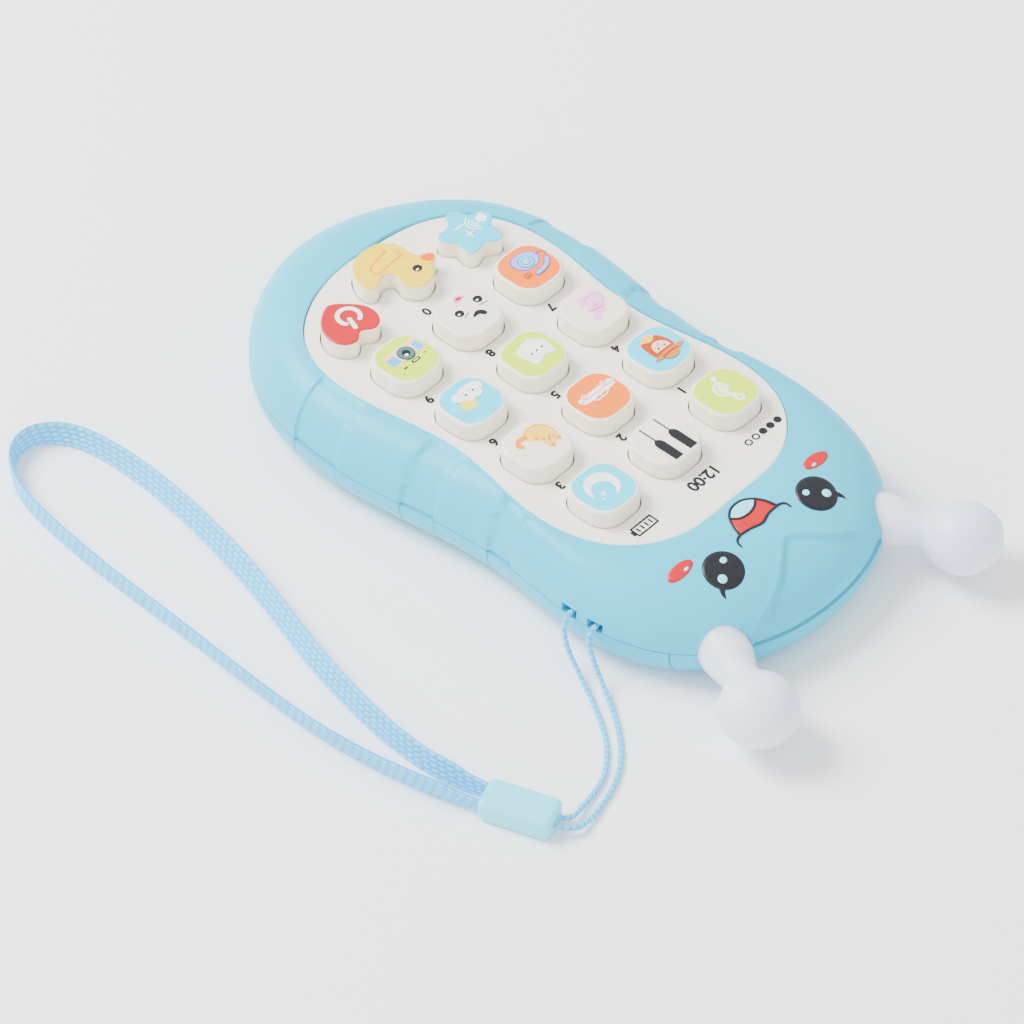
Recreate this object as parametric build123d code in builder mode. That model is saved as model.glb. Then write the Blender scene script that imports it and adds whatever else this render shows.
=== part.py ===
"""Toy cell phone: a domed two-part casing with fifteen push keys, soft antennae and a wrist lanyard.

Millimetres. The phone lies on its back: +Z up through the keys, +Y towards the antennae,
+X towards the side with the strap slots. Z = 0 is the flat of the back.
"""

import os
from math import cos, hypot, pi, radians, sin, tan

from build123d import *

os.makedirs("parts", exist_ok=True)

# ---- driving dimensions -------------------------------------------------------------------
PART_Z = 9.3  # parting line of the casing
RIM_Z = 21.2  # edge of the upper shell round the plate
WALL = 2.0
FLOOR = 1.8
BACK_R = 8.0  # radius between the sides and the back

# half outlines from the bottom end to the head, at matching stations
CASING = [(0, -82.9), (22.4, -75.2), (35.1, -61.4), (40.9, -33.9), (36.8, 8.4),
          (38.4, 33.0), (32.7, 51.9), (19.5, 63.0), (0, 67.1)]
PLATE = [(0, -65.3), (15.5, -63.0), (26.5, -55.0), (30.8, -38.6), (27.7, -10.7),
         (30.8, 14.0), (26.9, 30.0), (15.0, 38.9), (0, 39.8)]

PLATE_BOTTOM, PLATE_TOP = 18.6, 20.8
PLATE_GAP = 0.2
LEDGE = 1.3  # how far the shell's ledge reaches under the plate
LEDGE_Z = 17.1

KEY_TOP = 25.0
KEY_PITCH_X, KEY_PITCH_Y = 18.6, 18.2
KEY_ROW_Y = -6.0  # middle of the four rows
KEY_SIZE, KEY_CORNER = 13.2, 4.8
KEY_GAP = 0.3
KEY_FLANGE = 0.8
FLANGE_BOTTOM, FLANGE_TOP = 17.2, 18.4
STEM_Z = 17.0
STAR_AT, DUCK_AT, HEART_AT = (-18.5, -50.1), (-0.7, -56.0), (19.0, -49.4)

BOARD_BOTTOM, BOARD_TOP = 13.5, 14.7
PAD_TOP = 15.4
DOME_BASE_R, DOME_TOP_R = 4.2, 2.4
PEG_R, SCREW_R = 1.9, 0.8
BOARD_SCREWS = [(x, y) for x in (-9.3, 9.3) for y in (-6.0, 12.2)]
BOARD_PEGS = [(-9.3, -24.2), (9.3, -24.2)]

HEAD_SPLIT_Y = 51.8
BALL = (31.8, 74.5)  # middle of the right antenna's ball
SPLAY = 25.0  # antenna angle away from +Y
BALL_R = 8.4
STEM_ROOT_R, STEM_NECK_R = 5.5, 3.9
ANTENNA_FLANGE_R = 6.3
FLANGE_ALONG = -25.4  # inner end of an antenna, from its ball's middle

CASE_SCREWS = [(30.0, -38.0), (-30.0, -38.0), (26.5, 42.5), (-26.5, 42.5), (0.0, -71.3)]
HEAD_SCREWS = [(9.0, 55.8), (-9.0, 55.8)]
POST_R, CASE_SCREW_R, CASE_HEAD_R = 2.8, 1.0, 2.0

CELL_R, CELL_PITCH, CELL_Z = 5.2, 11.0, 6.9
BAY_X, BAY_Y0, BAY_Y1, BAY_ROOF = 17.2, -62.4, -13.6, 12.2
DOOR_X, DOOR_Y0, DOOR_Y1, DOOR_T = 18.7, -64.2, -11.8, 1.5
DOOR_SCREW_Y = -9.6

SPEAKER_Y, SPEAKER_R = 24.0, 14.0

SLOT_A, SLOT_B = (27.9, 31.9), (34.6, 38.4)  # Y ranges of the strap slots
SLOT_H = 2.3
CORD_D = 1.2
BAND_TUBE_D = 3.6
SLIDER_AT, SLIDER_ANGLE = (78.4, 53.4), 109.3
SLIDER_L, SLIDER_W, SLIDER_H = 15.5, 8.2, 5.0


# ---- outlines and skins ---------------------------------------------------------------------
def whole(half):
    """The closed outline of a half outline, mirrored in X, counterclockwise."""
    return half + [(-x, y) for x, y in reversed(half[1:-1])]


def inset(points, distance):
    """The outline's stations moved in by a distance, square to the outline."""
    moved = []
    for i, (x, y) in enumerate(points):
        (xa, ya), (xb, yb) = points[i - 1], points[(i + 1) % len(points)]
        run = hypot(xb - xa, yb - ya)
        moved.append((x - distance * (yb - ya) / run, y + distance * (xb - xa) / run))
    return moved


def blend(outer, inner, share):
    return [
        (a[0] * share + b[0] * (1 - share), a[1] * share + b[1] * (1 - share))
        for a, b in zip(outer, inner)
    ]


def ring(points, z):
    """A face at height z inside a smooth closed curve through the points."""
    with BuildSketch(Plane.XY.offset(z)) as s:
        with BuildLine():
            Spline(*points, periodic=True)
        make_face()
    return s.sketch


CASING_RING, PLATE_RING = whole(CASING), whole(PLATE)


def dome(outer, inner, z_low, z_high):
    """A solid whose sides are quarter ellipses from the outer outline up to the inner one."""
    with BuildPart() as p:
        loft([
            ring(blend(outer, inner, cos(radians(t))), z_low + (z_high - z_low) * sin(radians(t)))
            for t in (0, 22.5, 45, 67.5, 90)
        ])
    return p.part


def tub(outer, radius, z_low, z_side):
    """A solid with upright sides above z_side, rounded below it to a flat at z_low."""
    depth = z_side - z_low
    with BuildPart() as p:
        loft([ring(outer, PART_Z)] + [
            ring(inset(outer, radius * (1 - cos(radians(t)))), z_side - depth * sin(radians(t)))
            for t in (0, 22.5, 45, 67.5, 90)
        ])
    return p.part


RIM_RING = inset(PLATE_RING, -PLATE_GAP)
UPPER_SKIN = dome(CASING_RING, RIM_RING, PART_Z, RIM_Z)
LOWER_SKIN = tub(CASING_RING, BACK_R, 0, BACK_R)


def antenna_plane(side, along):
    """A plane square to an antenna, at a distance along it from the middle of its ball."""
    angle = radians(SPLAY)
    out = Vector(side * sin(angle), cos(angle), 0)
    start = Vector(side * BALL[0], BALL[1], PART_Z) + out * along
    return Plane(origin=start, x_dir=(0, 0, 1), z_dir=out)


# ---- key shapes -----------------------------------------------------------------------------
STAR = [
    ((6.0 + 1.1 * cos(radians(5 * (t - 46)))) * cos(radians(t)),
     (6.0 + 1.1 * cos(radians(5 * (t - 46)))) * sin(radians(t)))
    for t in range(0, 360, 12)
]
HEART = [(0, -6.8), (3.8, -4.5), (6.2, -0.7), (6.1, 2.6), (4.4, 4.6), (2.3, 4.9), (0, 3.5),
         (-2.3, 4.9), (-4.4, 4.6), (-6.1, 2.6), (-6.2, -0.7), (-3.8, -4.5)]
DUCK = [(1.1, -6.3), (4.2, -6.1), (7.1, -4.6), (9.2, -1.7), (10.0, 1.4), (9.0, 3.4), (7.0, 3.0),
        (5.0, 2.2), (3.4, 2.6), (2.9, 4.2), (3.6, 6.6), (2.7, 9.0), (0.5, 10.4), (-2.0, 10.0),
        (-4.0, 8.5), (-5.1, 6.9), (-6.9, 6.4), (-7.6, 5.1), (-6.6, 3.8), (-4.8, 2.8), (-4.5, 0.6),
        (-4.5, -1.8), (-3.5, -4.0), (-1.7, -5.7)]


def shrunk(points, share):
    return [(x * share, y * share) for x, y in points]


def key_face(key, grow, z):
    """The outline of a key at height z, grown outwards by a distance."""
    shape, (x, y) = key
    if shape:
        return ring([(x + u, y + v) for u, v in inset(shape, -grow)], z)
    with BuildSketch(Plane.XY.offset(z)) as s:
        with Locations((x, y)):
            RectangleRounded(KEY_SIZE + 2 * grow, KEY_SIZE + 2 * grow, KEY_CORNER + grow)
    return s.sketch


ROWS = [("1", "2", "3"), ("4", "5", "6"), ("7", "8", "9"), ("telephone", "0", "camera")]
KEYS = {}
for row, names in enumerate(ROWS):
    for column, key_name in enumerate(names):
        KEYS["key_" + key_name] = (
            None,
            ((column - 1) * KEY_PITCH_X, KEY_ROW_Y + (1.5 - row) * KEY_PITCH_Y),
        )
KEYS["key_star"] = (STAR, STAR_AT)
KEYS["key_duck"] = (DUCK, DUCK_AT)
KEYS["key_heart"] = (HEART, HEART_AT)


def save(part, name):
    part.label = name
    export_step(part, f"parts/{name}.step")


# ---- upper shell ----------------------------------------------------------------------------
with BuildPart() as upper_room:  # the hollow of the upper shell, stepped, less bosses and ledge
    for top in (13.5, 17.0, RIM_Z - WALL):
        lean = (1 - ((top - PART_Z) / (RIM_Z - PART_Z)) ** 2) ** 0.5
        extrude(ring(inset(blend(CASING_RING, RIM_RING, lean), WALL), PART_Z),
                amount=top - PART_Z)
    with Locations(*[(x, y, PART_Z) for x, y in CASE_SCREWS + HEAD_SCREWS]):
        Cylinder(POST_R, 20, align=(Align.CENTER, Align.CENTER, Align.MIN), mode=Mode.SUBTRACT)
    extrude(ring(inset(PLATE_RING, -1.5), LEDGE_Z), amount=10, mode=Mode.SUBTRACT)

with BuildPart() as upper_shell:
    add(UPPER_SKIN)
    add(upper_room.part, mode=Mode.SUBTRACT)
    extrude(ring(RIM_RING, PLATE_BOTTOM), amount=10, mode=Mode.SUBTRACT)
    extrude(ring(inset(PLATE_RING, LEDGE), LEDGE_Z - 1), amount=10, mode=Mode.SUBTRACT)
    with Locations(*[(x, y, PART_Z) for x, y in CASE_SCREWS + HEAD_SCREWS]):
        Cylinder(CASE_SCREW_R, 5.5, align=(Align.CENTER, Align.CENTER, Align.MIN),
                 mode=Mode.SUBTRACT)
    for low_y, high_y in (SLOT_A, SLOT_B):
        with Locations((37.5, (low_y + high_y) / 2, PART_Z)):
            Box(8, high_y - low_y, SLOT_H, align=(Align.CENTER, Align.CENTER, Align.MIN),
                mode=Mode.SUBTRACT)
    for side in (-1, 1):
        with BuildSketch(antenna_plane(side, FLANGE_ALONG)):
            Circle(STEM_ROOT_R)
        extrude(amount=17, mode=Mode.SUBTRACT)
        with BuildSketch(antenna_plane(side, FLANGE_ALONG - 4)):
            Circle(ANTENNA_FLANGE_R + 0.2)
        extrude(amount=5.8, mode=Mode.SUBTRACT)
save(upper_shell.part, "upper_shell")

# ---- back shell and head cover --------------------------------------------------------------
with BuildPart() as lower_room:  # the hollow of the lower casing, less its posts and battery pad
    for bottom in (4.4, FLOOR):
        lean = (1 - ((BACK_R - bottom) / BACK_R) ** 2) ** 0.5
        extrude(ring(inset(CASING_RING, WALL + BACK_R * (1 - lean)), PART_Z),
                amount=bottom - PART_Z)
    with Locations(*[(x, y, 0) for x, y in CASE_SCREWS + HEAD_SCREWS]):
        Cylinder(POST_R, 20, align=(Align.CENTER, Align.CENTER, Align.MIN), mode=Mode.SUBTRACT)
    with Locations((0, (BAY_Y0 + BAY_Y1) / 2 + 1.6, 0)):
        Box(2 * BAY_X + 8.6, BAY_Y1 - BAY_Y0 + 11.6, 3.2,
            align=(Align.CENTER, Align.CENTER, Align.MIN), mode=Mode.SUBTRACT)
    with Locations((0, (BAY_Y0 + BAY_Y1) / 2, 0)):
        Box(2 * BAY_X + 2.4, BAY_Y1 - BAY_Y0 + 2.4, 20,
            align=(Align.CENTER, Align.CENTER, Align.MIN), mode=Mode.SUBTRACT)
    with Locations((0, DOOR_SCREW_Y, 0)):
        Cylinder(3.0, 7.5, align=(Align.CENTER, Align.CENTER, Align.MIN), mode=Mode.SUBTRACT)
    with Locations((0, 49.6, 0)):
        Box(100, 1.5, 20, align=(Align.CENTER, Align.CENTER, Align.MIN), mode=Mode.SUBTRACT)

with BuildPart() as lower_case:
    add(LOWER_SKIN)
    add(lower_room.part, mode=Mode.SUBTRACT)
    with Locations(*[(x, y, 0) for x, y in CASE_SCREWS + HEAD_SCREWS]):
        Cylinder(CASE_HEAD_R + 0.2, 4.2, align=(Align.CENTER, Align.CENTER, Align.MIN),
                 mode=Mode.SUBTRACT)
        Cylinder(CASE_SCREW_R + 0.2, 12, align=(Align.CENTER, Align.CENTER, Align.MIN),
                 mode=Mode.SUBTRACT)
    for side in (-1, 1):
        with BuildSketch(antenna_plane(side, FLANGE_ALONG)):
            Circle(STEM_ROOT_R)
        extrude(amount=17, mode=Mode.SUBTRACT)
        with BuildSketch(antenna_plane(side, FLANGE_ALONG - 4)):
            Circle(ANTENNA_FLANGE_R + 0.2)
        extrude(amount=5.8, mode=Mode.SUBTRACT)

with BuildPart() as back_shell:
    add(lower_case.part)
    split(bisect_by=Plane(origin=(0, HEAD_SPLIT_Y, 0), z_dir=(0, -1, 0)), keep=Keep.TOP)
    # the battery bay's walls and roof stand above the parting line
    with Locations((0, (BAY_Y0 + BAY_Y1) / 2, PART_Z - 0.6)):
        Box(2 * BAY_X + 2.4, BAY_Y1 - BAY_Y0 + 2.4, BAY_ROOF + 1.0 - PART_Z + 0.6,
            align=(Align.CENTER, Align.CENTER, Align.MIN))
    with Locations((0, (BAY_Y0 + BAY_Y1) / 2, -1)):
        Box(2 * BAY_X, BAY_Y1 - BAY_Y0, BAY_ROOF + 1,
            align=(Align.CENTER, Align.CENTER, Align.MIN), mode=Mode.SUBTRACT)
    # seat of the battery door, its two tab slots and its screw hole
    with BuildSketch(Plane.XY.offset(-1)):
        with Locations((0, (DOOR_Y0 + DOOR_Y1) / 2)):
            RectangleRounded(2 * DOOR_X + 0.5, DOOR_Y1 - DOOR_Y0 + 0.5, 3.2)
        with Locations((0, DOOR_SCREW_Y - 1.2)):
            Circle(4.85)
    extrude(amount=1 + DOOR_T + 0.1, mode=Mode.SUBTRACT)
    with Locations((9, BAY_Y0 - 1.7, DOOR_T), (-9, BAY_Y0 - 1.7, DOOR_T)):
        Box(5.0, 4.4, 1.3, align=(Align.CENTER, Align.CENTER, Align.MIN), mode=Mode.SUBTRACT)
    with Locations((0, DOOR_SCREW_Y, 0)):
        Cylinder(SCREW_R, 6.5, align=(Align.CENTER, Align.CENTER, Align.MIN),
                 mode=Mode.SUBTRACT)
    # speaker grille
    with Locations((0, SPEAKER_Y, 0)):
        with PolarLocations(4.2, 6):
            Cylinder(1.0, 8, mode=Mode.SUBTRACT)
        with PolarLocations(8.4, 12):
            Cylinder(1.0, 8, mode=Mode.SUBTRACT)
        Cylinder(1.0, 8, mode=Mode.SUBTRACT)
save(back_shell.part, "back_shell")

with BuildPart() as head_cover:
    add(lower_case.part)
    split(bisect_by=Plane(origin=(0, HEAD_SPLIT_Y, 0), z_dir=(0, -1, 0)), keep=Keep.BOTTOM)
save(head_cover.part, "head_cover")

# ---- face plate -----------------------------------------------------------------------------
with BuildPart() as face_plate:
    extrude(ring(PLATE_RING, PLATE_BOTTOM), amount=PLATE_TOP - PLATE_BOTTOM)
    fillet(face_plate.faces().sort_by(Axis.Z)[-1].edges(), 0.5)
    for key in KEYS.values():
        extrude(key_face(key, KEY_GAP, PLATE_BOTTOM - 1), amount=6, mode=Mode.SUBTRACT)
    with Locations(*[(x, y, PLATE_BOTTOM) for x, y in BOARD_SCREWS + BOARD_PEGS]):
        Cylinder(PEG_R, PLATE_BOTTOM - BOARD_TOP,
                 align=(Align.CENTER, Align.CENTER, Align.MAX))
    with Locations(*[(x, y, BOARD_TOP) for x, y in BOARD_PEGS]):
        Cylinder(1.1, BOARD_TOP - BOARD_BOTTOM, align=(Align.CENTER, Align.CENTER, Align.MAX))
    with Locations(*[(x, y, BOARD_TOP) for x, y in BOARD_SCREWS]):
        Cylinder(SCREW_R, 3.2, align=(Align.CENTER, Align.CENTER, Align.MIN),
                 mode=Mode.SUBTRACT)
save(face_plate.part, "face_plate")

# ---- keys -----------------------------------------------------------------------------------
for key_name, key in KEYS.items():
    shape, (x, y) = key
    with BuildPart() as cap:
        extrude(key_face(key, KEY_FLANGE, FLANGE_BOTTOM), amount=FLANGE_TOP - FLANGE_BOTTOM)
        if shape:
            extrude(key_face(key, 0, FLANGE_TOP), amount=24.6 - FLANGE_TOP)
            loft([key_face(key, 0, 24.6), key_face(key, -0.1, 24.86), key_face(key, -0.35, KEY_TOP)])
            hollow = key_face((shrunk(shape, 0.66), (x, y)), 0, FLANGE_BOTTOM - 1)
        else:
            extrude(key_face(key, 0, FLANGE_TOP), amount=KEY_TOP - FLANGE_TOP)
            fillet(cap.faces().sort_by(Axis.Z)[-1].edges(), 0.8)
            hollow = key_face(key, -1.8, FLANGE_BOTTOM - 1)
        extrude(hollow, amount=6.4, mode=Mode.SUBTRACT)
        with Locations((x, y, STEM_Z)):
            Cylinder(2.2, 6, align=(Align.CENTER, Align.CENTER, Align.MIN))
    save(cap.part, key_name)

# ---- keypad, board and what is on it ----------------------------------------------------------
with BuildPart() as rubber_keypad:
    extrude(ring(inset(PLATE_RING, 4.8), BOARD_TOP), amount=PAD_TOP - BOARD_TOP)
    for _, (x, y) in KEYS.values():
        with Locations((x, y, PAD_TOP)):
            Cone(DOME_BASE_R, DOME_TOP_R, STEM_Z - PAD_TOP,
                 align=(Align.CENTER, Align.CENTER, Align.MIN))
    with Locations(*[(x, y, BOARD_TOP) for x, y in BOARD_SCREWS + BOARD_PEGS]):
        Cylinder(PEG_R + 0.25, 6, align=(Align.CENTER, Align.CENTER, Align.CENTER),
                 mode=Mode.SUBTRACT)
save(rubber_keypad.part, "rubber_keypad")

with BuildPart() as circuit_board:
    extrude(ring(inset(PLATE_RING, 4.5), BOARD_BOTTOM), amount=BOARD_TOP - BOARD_BOTTOM)
    with Locations(*[(x, y, BOARD_BOTTOM) for x, y in BOARD_SCREWS]):
        Cylinder(SCREW_R + 0.2, 4, mode=Mode.SUBTRACT)
    with Locations(*[(x, y, BOARD_BOTTOM) for x, y in BOARD_PEGS]):
        Cylinder(1.2, 4, mode=Mode.SUBTRACT)
save(circuit_board.part, "circuit_board")

with BuildPart() as sound_chip:
    with Locations((0, 3.0, BOARD_BOTTOM)):
        Sphere(8.4)
    with Locations((0, 3.0, BOARD_BOTTOM)):
        Box(30, 30, 20, align=(Align.CENTER, Align.CENTER, Align.MIN), mode=Mode.SUBTRACT)
    with Locations((0, 3.0, BOARD_BOTTOM - 1.6)):
        Box(30, 30, 20, align=(Align.CENTER, Align.CENTER, Align.MAX), mode=Mode.SUBTRACT)
    with Locations((0, 3.0, BOARD_BOTTOM)):
        Cylinder(5.2, 4, mode=Mode.INTERSECT)
    fillet(sound_chip.faces().sort_by(Axis.Z)[0].edges(), 1.0)
save(sound_chip.part, "sound_chip")

with BuildPart() as board_components:
    with Locations(*[(x, y, BOARD_BOTTOM) for x in (-16, -12.5, 12.5, 16) for y in (0, 5)]):
        Box(1.6, 3.2, 0.7, align=(Align.CENTER, Align.CENTER, Align.MAX))
    with Locations((-18, 22, BOARD_BOTTOM), (18, 22, BOARD_BOTTOM)):
        Cylinder(2.5, 3.6, align=(Align.CENTER, Align.CENTER, Align.MAX))
    with Locations((0, -8.6, BOARD_BOTTOM)):
        Box(5.0, 1.8, 1.4, align=(Align.CENTER, Align.CENTER, Align.MAX))
save(board_components.part, "board_components")

# ---- speaker --------------------------------------------------------------------------------
with BuildPart() as speaker_frame:
    with BuildSketch(Plane.XZ.offset(-SPEAKER_Y)):
        with BuildLine():
            Polyline((12.6, FLOOR), (SPEAKER_R, FLOOR), (SPEAKER_R, 2.9), (12.6, 2.9), (8.4, 6.5),
                     (3.4, 6.5), (3.4, 5.7), (7.9, 5.7), (12.0, 2.3), (12.6, 2.3), close=True)
        make_face()
    revolve(axis=Axis((0, SPEAKER_Y, 0), (0, 0, 1)))
save(speaker_frame.part, "speaker_frame")

with BuildPart() as speaker_cone:
    with BuildSketch(Plane.XZ.offset(-SPEAKER_Y)):
        with BuildLine():
            Polyline((0, 3.6), (3.2, 4.1), (11.4, 1.95), (12.4, 1.95), (12.4, 2.25), (11.5, 2.25),
                     (3.2, 4.5), (3.2, 5.6), (2.8, 5.6), (2.8, 4.4), (0, 4.0), close=True)
        make_face()
    revolve(axis=Axis((0, SPEAKER_Y, 0), (0, 0, 1)))
save(speaker_cone.part, "speaker_cone")

with BuildPart() as speaker_magnet:
    with Locations((0, SPEAKER_Y, 6.5)):
        Cylinder(6.6, 3.4, align=(Align.CENTER, Align.CENTER, Align.MIN))
    chamfer(speaker_magnet.faces().sort_by(Axis.Z)[-1].edges(), 0.4)
save(speaker_magnet.part, "speaker_magnet")

# ---- antennae and the lamps in them ------------------------------------------------------------
def antenna_body(side):
    """Ball, neck, root flange and a blind bore for the lamp, turned about the antenna's axis."""
    middle = antenna_plane(side, 0)
    neck = (4.3, -((BALL_R**2 - 4.3**2) ** 0.5))
    lip = FLANGE_ALONG + 1.8
    with BuildPart() as p:
        with BuildSketch(Plane(origin=middle.origin, x_dir=(0, 0, 1),
                               z_dir=middle.z_dir.cross(Vector(0, 0, 1)) * -1)):
            with BuildLine():
                Polyline((2.6, FLANGE_ALONG), (ANTENNA_FLANGE_R, FLANGE_ALONG),
                         (ANTENNA_FLANGE_R, lip), (STEM_ROOT_R, lip), (STEM_ROOT_R, -16.0))
                Spline((STEM_ROOT_R, -16.0), (4.7, -12.8), (STEM_NECK_R, -9.6), neck,
                       tangents=[(0, 1), (0.6, 1)])
                ThreePointArc(neck, (BALL_R, 0), (0, BALL_R))
                Polyline((0, BALL_R), (0, -13.4), (2.6, -13.4), (2.6, FLANGE_ALONG))
            make_face()
        revolve(axis=Axis(middle.origin, middle.z_dir))
    return p.part


for side, name in ((-1, "left"), (1, "right")):
    stem_axis = Axis(antenna_plane(side, 0).origin, antenna_plane(side, 0).z_dir)
    save(antenna_body(side), "antenna_" + name)

    with BuildPart() as led:
        with BuildSketch(antenna_plane(side, -23.4)):
            Circle(2.5)
        extrude(amount=6.4)
        fillet(led.faces().sort_by(stem_axis)[-1].edges(), 2.3)
        for shift in (-1.27, 1.27):
            with BuildSketch(antenna_plane(side, -25.9)):
                with Locations((0, shift)):
                    Rectangle(0.5, 0.5)
            extrude(amount=2.5)
    save(led.part, "led_" + name)

# ---- batteries, contacts and door ------------------------------------------------------------
for number, x, flip in ((1, -CELL_PITCH, 1), (2, 0, -1), (3, CELL_PITCH, 1)):
    with BuildPart() as cell:
        base_y = BAY_Y0 + 3.9 if flip > 0 else BAY_Y1 - 3.9
        with BuildSketch(Plane(origin=(x, base_y, CELL_Z), x_dir=(1, 0, 0), z_dir=(0, flip, 0))):
            Circle(CELL_R)
        extrude(amount=43.6)
        fillet(cell.edges().filter_by(GeomType.CIRCLE), 0.5)
        with BuildSketch(Plane(origin=(x, base_y + flip * 43.5, CELL_Z), x_dir=(1, 0, 0),
                               z_dir=(0, flip, 0))):
            Circle(2.7)
        extrude(amount=1.0)
    save(cell.part, f"battery_{number}")

with BuildPart() as battery_plates:
    for y0, spans in ((BAY_Y0, ((-15.8, 4.6), (6.4, 15.8))),
                      (BAY_Y1 - 0.4, ((-15.8, -6.4), (-4.6, 15.8)))):
        for x0, x1 in spans:
            with Locations(((x0 + x1) / 2, y0 + 0.2, CELL_Z)):
                Box(x1 - x0, 0.4, 8.6)
save(battery_plates.part, "battery_plates")

with BuildPart() as battery_springs:
    for x, y, flip in ((-CELL_PITCH, BAY_Y0 + 0.4, 1), (0, BAY_Y1 - 0.4, -1),
                       (CELL_PITCH, BAY_Y0 + 0.4, 1)):
        with BuildLine() as coil:
            Helix(pitch=1.0, height=2.8, radius=3.0, center=(x, y + flip * 0.32, CELL_Z),
                  direction=(0, flip, 0))
        with BuildSketch(Plane(origin=coil.line @ 0, z_dir=coil.line % 0)):
            Circle(0.3)
        sweep(path=coil.line, is_frenet=True)
save(battery_springs.part, "battery_springs")

with BuildPart() as battery_door:
    with BuildSketch():
        with Locations((0, (DOOR_Y0 + DOOR_Y1) / 2)):
            RectangleRounded(2 * DOOR_X, DOOR_Y1 - DOOR_Y0, 3.0)
        with Locations((0, DOOR_SCREW_Y - 1.2)):
            Circle(4.6)
    extrude(amount=DOOR_T)
    for x in (-9, 9):
        with Locations((x, BAY_Y0 - 1.2, DOOR_T)):
            Box(4.0, 4.4, 0.9, align=(Align.CENTER, Align.CENTER, Align.MIN))
    with Locations((0, DOOR_SCREW_Y, 0)):
        Cylinder(2.3, 0.9, align=(Align.CENTER, Align.CENTER, Align.MIN), mode=Mode.SUBTRACT)
        Cylinder(1.0, 4, mode=Mode.SUBTRACT)
    # finger ribs across the door
    with Locations(*[(0, -30.0 - 2.4 * i, 0) for i in range(4)]):
        Box(16, 1.0, 0.5, align=(Align.CENTER, Align.CENTER, Align.MIN), mode=Mode.SUBTRACT)
save(battery_door.part, "battery_door")


def screw(head_r, head_h, shank_r, length):
    """A pan-head screw standing head down, its head's underside at the origin's height."""
    with BuildPart() as s:
        Cylinder(head_r, head_h, align=(Align.CENTER, Align.CENTER, Align.MAX))
        chamfer(s.faces().sort_by(Axis.Z)[0].edges(), 0.25)
        Cylinder(shank_r, length, align=(Align.CENTER, Align.CENTER, Align.MIN))
        chamfer(s.faces().sort_by(Axis.Z)[-1].edges(), shank_r * 0.4)
        with BuildSketch(Plane.XY.offset(-head_h)):
            Rectangle(head_r * 1.1, head_r * 0.3)
            Rectangle(head_r * 0.3, head_r * 1.1)
        extrude(amount=head_h * 0.5, mode=Mode.SUBTRACT)
    return s.part


with BuildPart() as battery_door_screw:
    with Locations((0, DOOR_SCREW_Y, 0.9)):
        add(screw(2.1, 0.8, SCREW_R, 5.4))
save(battery_door_screw.part, "battery_door_screw")

with BuildPart() as case_screws:
    with Locations(*[(x, y, 4.2) for x, y in CASE_SCREWS]):
        add(screw(CASE_HEAD_R, 1.5, CASE_SCREW_R, 10.2))
save(case_screws.part, "case_screws")

with BuildPart() as head_cover_screws:
    with Locations(*[(x, y, 4.2) for x, y in HEAD_SCREWS]):
        add(screw(CASE_HEAD_R, 1.5, CASE_SCREW_R, 10.2))
save(head_cover_screws.part, "head_cover_screws")

with BuildPart() as board_screws:
    with Locations(*[(x, y, BOARD_BOTTOM) for x, y in BOARD_SCREWS]):
        add(screw(1.7, 1.0, SCREW_R, 3.9))
save(board_screws.part, "board_screws")


# ---- cords and strap --------------------------------------------------------------------------
def corner_radii(points):
    """The largest even radius at each corner: 0.45 of its shorter run over tan(half the turn)."""
    radii = []
    for a, b, c in zip(points, points[1:], points[2:]):
        before, after = Vector(*b) - Vector(*a), Vector(*c) - Vector(*b)
        half = radians(before.get_angle(after)) / 2
        radii.append(round(0.45 * min(before.length, after.length) / tan(half), 2))
    return radii


def cord(points, diameter, name):
    radii = corner_radii(points)
    with BuildPart() as tube:
        with BuildLine() as route:
            FilletPolyline(*points, radius=radii)
        path = route.wire()
        with BuildSketch(Plane(origin=path @ 0, z_dir=path % 0)):
            Circle(diameter / 2)
        sweep(path=path)
    expected = pi * diameter**2 / 4 * path.length
    print(f"{name}: length {path.length:.1f} mm, least radius {min(radii)} mm, "
          f"volume {tube.part.volume / expected:.4f} of section times length")
    print("   radii", radii)
    return tube.part


STRAP_A = [(35.1, 33.25, 10.4), (35.05, 30.2, 10.4), (40.4, 30.3, 10.2), (42.4, 32.4, 6.4),
           (43.7, 37.4, 1.8), (46.8, 44.2, 0.62), (50.4, 50.0, 0.6), (53.7, 54.1, 0.6),
           (57.4, 57.2, 0.6), (60.6, 59.1, 0.6), (64.4, 60.2, 0.62), (69.2, 61.1, 1.0),
           (73.2, 62.2, 1.9), (75.4, 59.9, 2.5)]
STRAP_B = [(35.1, 33.25, 10.4), (35.05, 36.4, 10.4), (40.3, 36.5, 10.0), (41.4, 38.8, 6.0),
           (42.6, 43.0, 1.7), (46.3, 49.5, 0.62), (50.4, 54.7, 0.6), (53.7, 57.9, 0.6),
           (57.2, 60.3, 0.6), (61.2, 62.2, 0.6), (66.0, 63.5, 0.65), (71.0, 64.6, 1.1),
           (75.2, 64.4, 2.0), (77.0, 60.6, 2.5)]
BAND = [(79.1, 45.4, 2.5), (81.1, 38.2, 2.9), (82.1, 27.0, 3.1), (80.5, 12.0, 3.2),
        (76.3, -7.0, 3.1), (70.3, -26.0, 3.1), (66.2, -45.5, 3.2), (64.2, -62.5, 3.1),
        (64.3, -76.5, 3.1), (66.4, -86.0, 3.1), (72.6, -91.6, 3.1), (80.0, -89.6, 3.1),
        (85.6, -80.6, 3.1), (87.6, -67.5, 3.1), (89.0, -50.0, 3.1), (89.4, -29.5, 3.1),
        (90.4, -8.5, 3.1), (90.7, 8.5, 3.1), (89.4, 22.0, 3.1), (87.1, 33.6, 3.0),
        (85.2, 40.6, 2.8), (83.0, 46.9, 2.5)]

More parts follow.
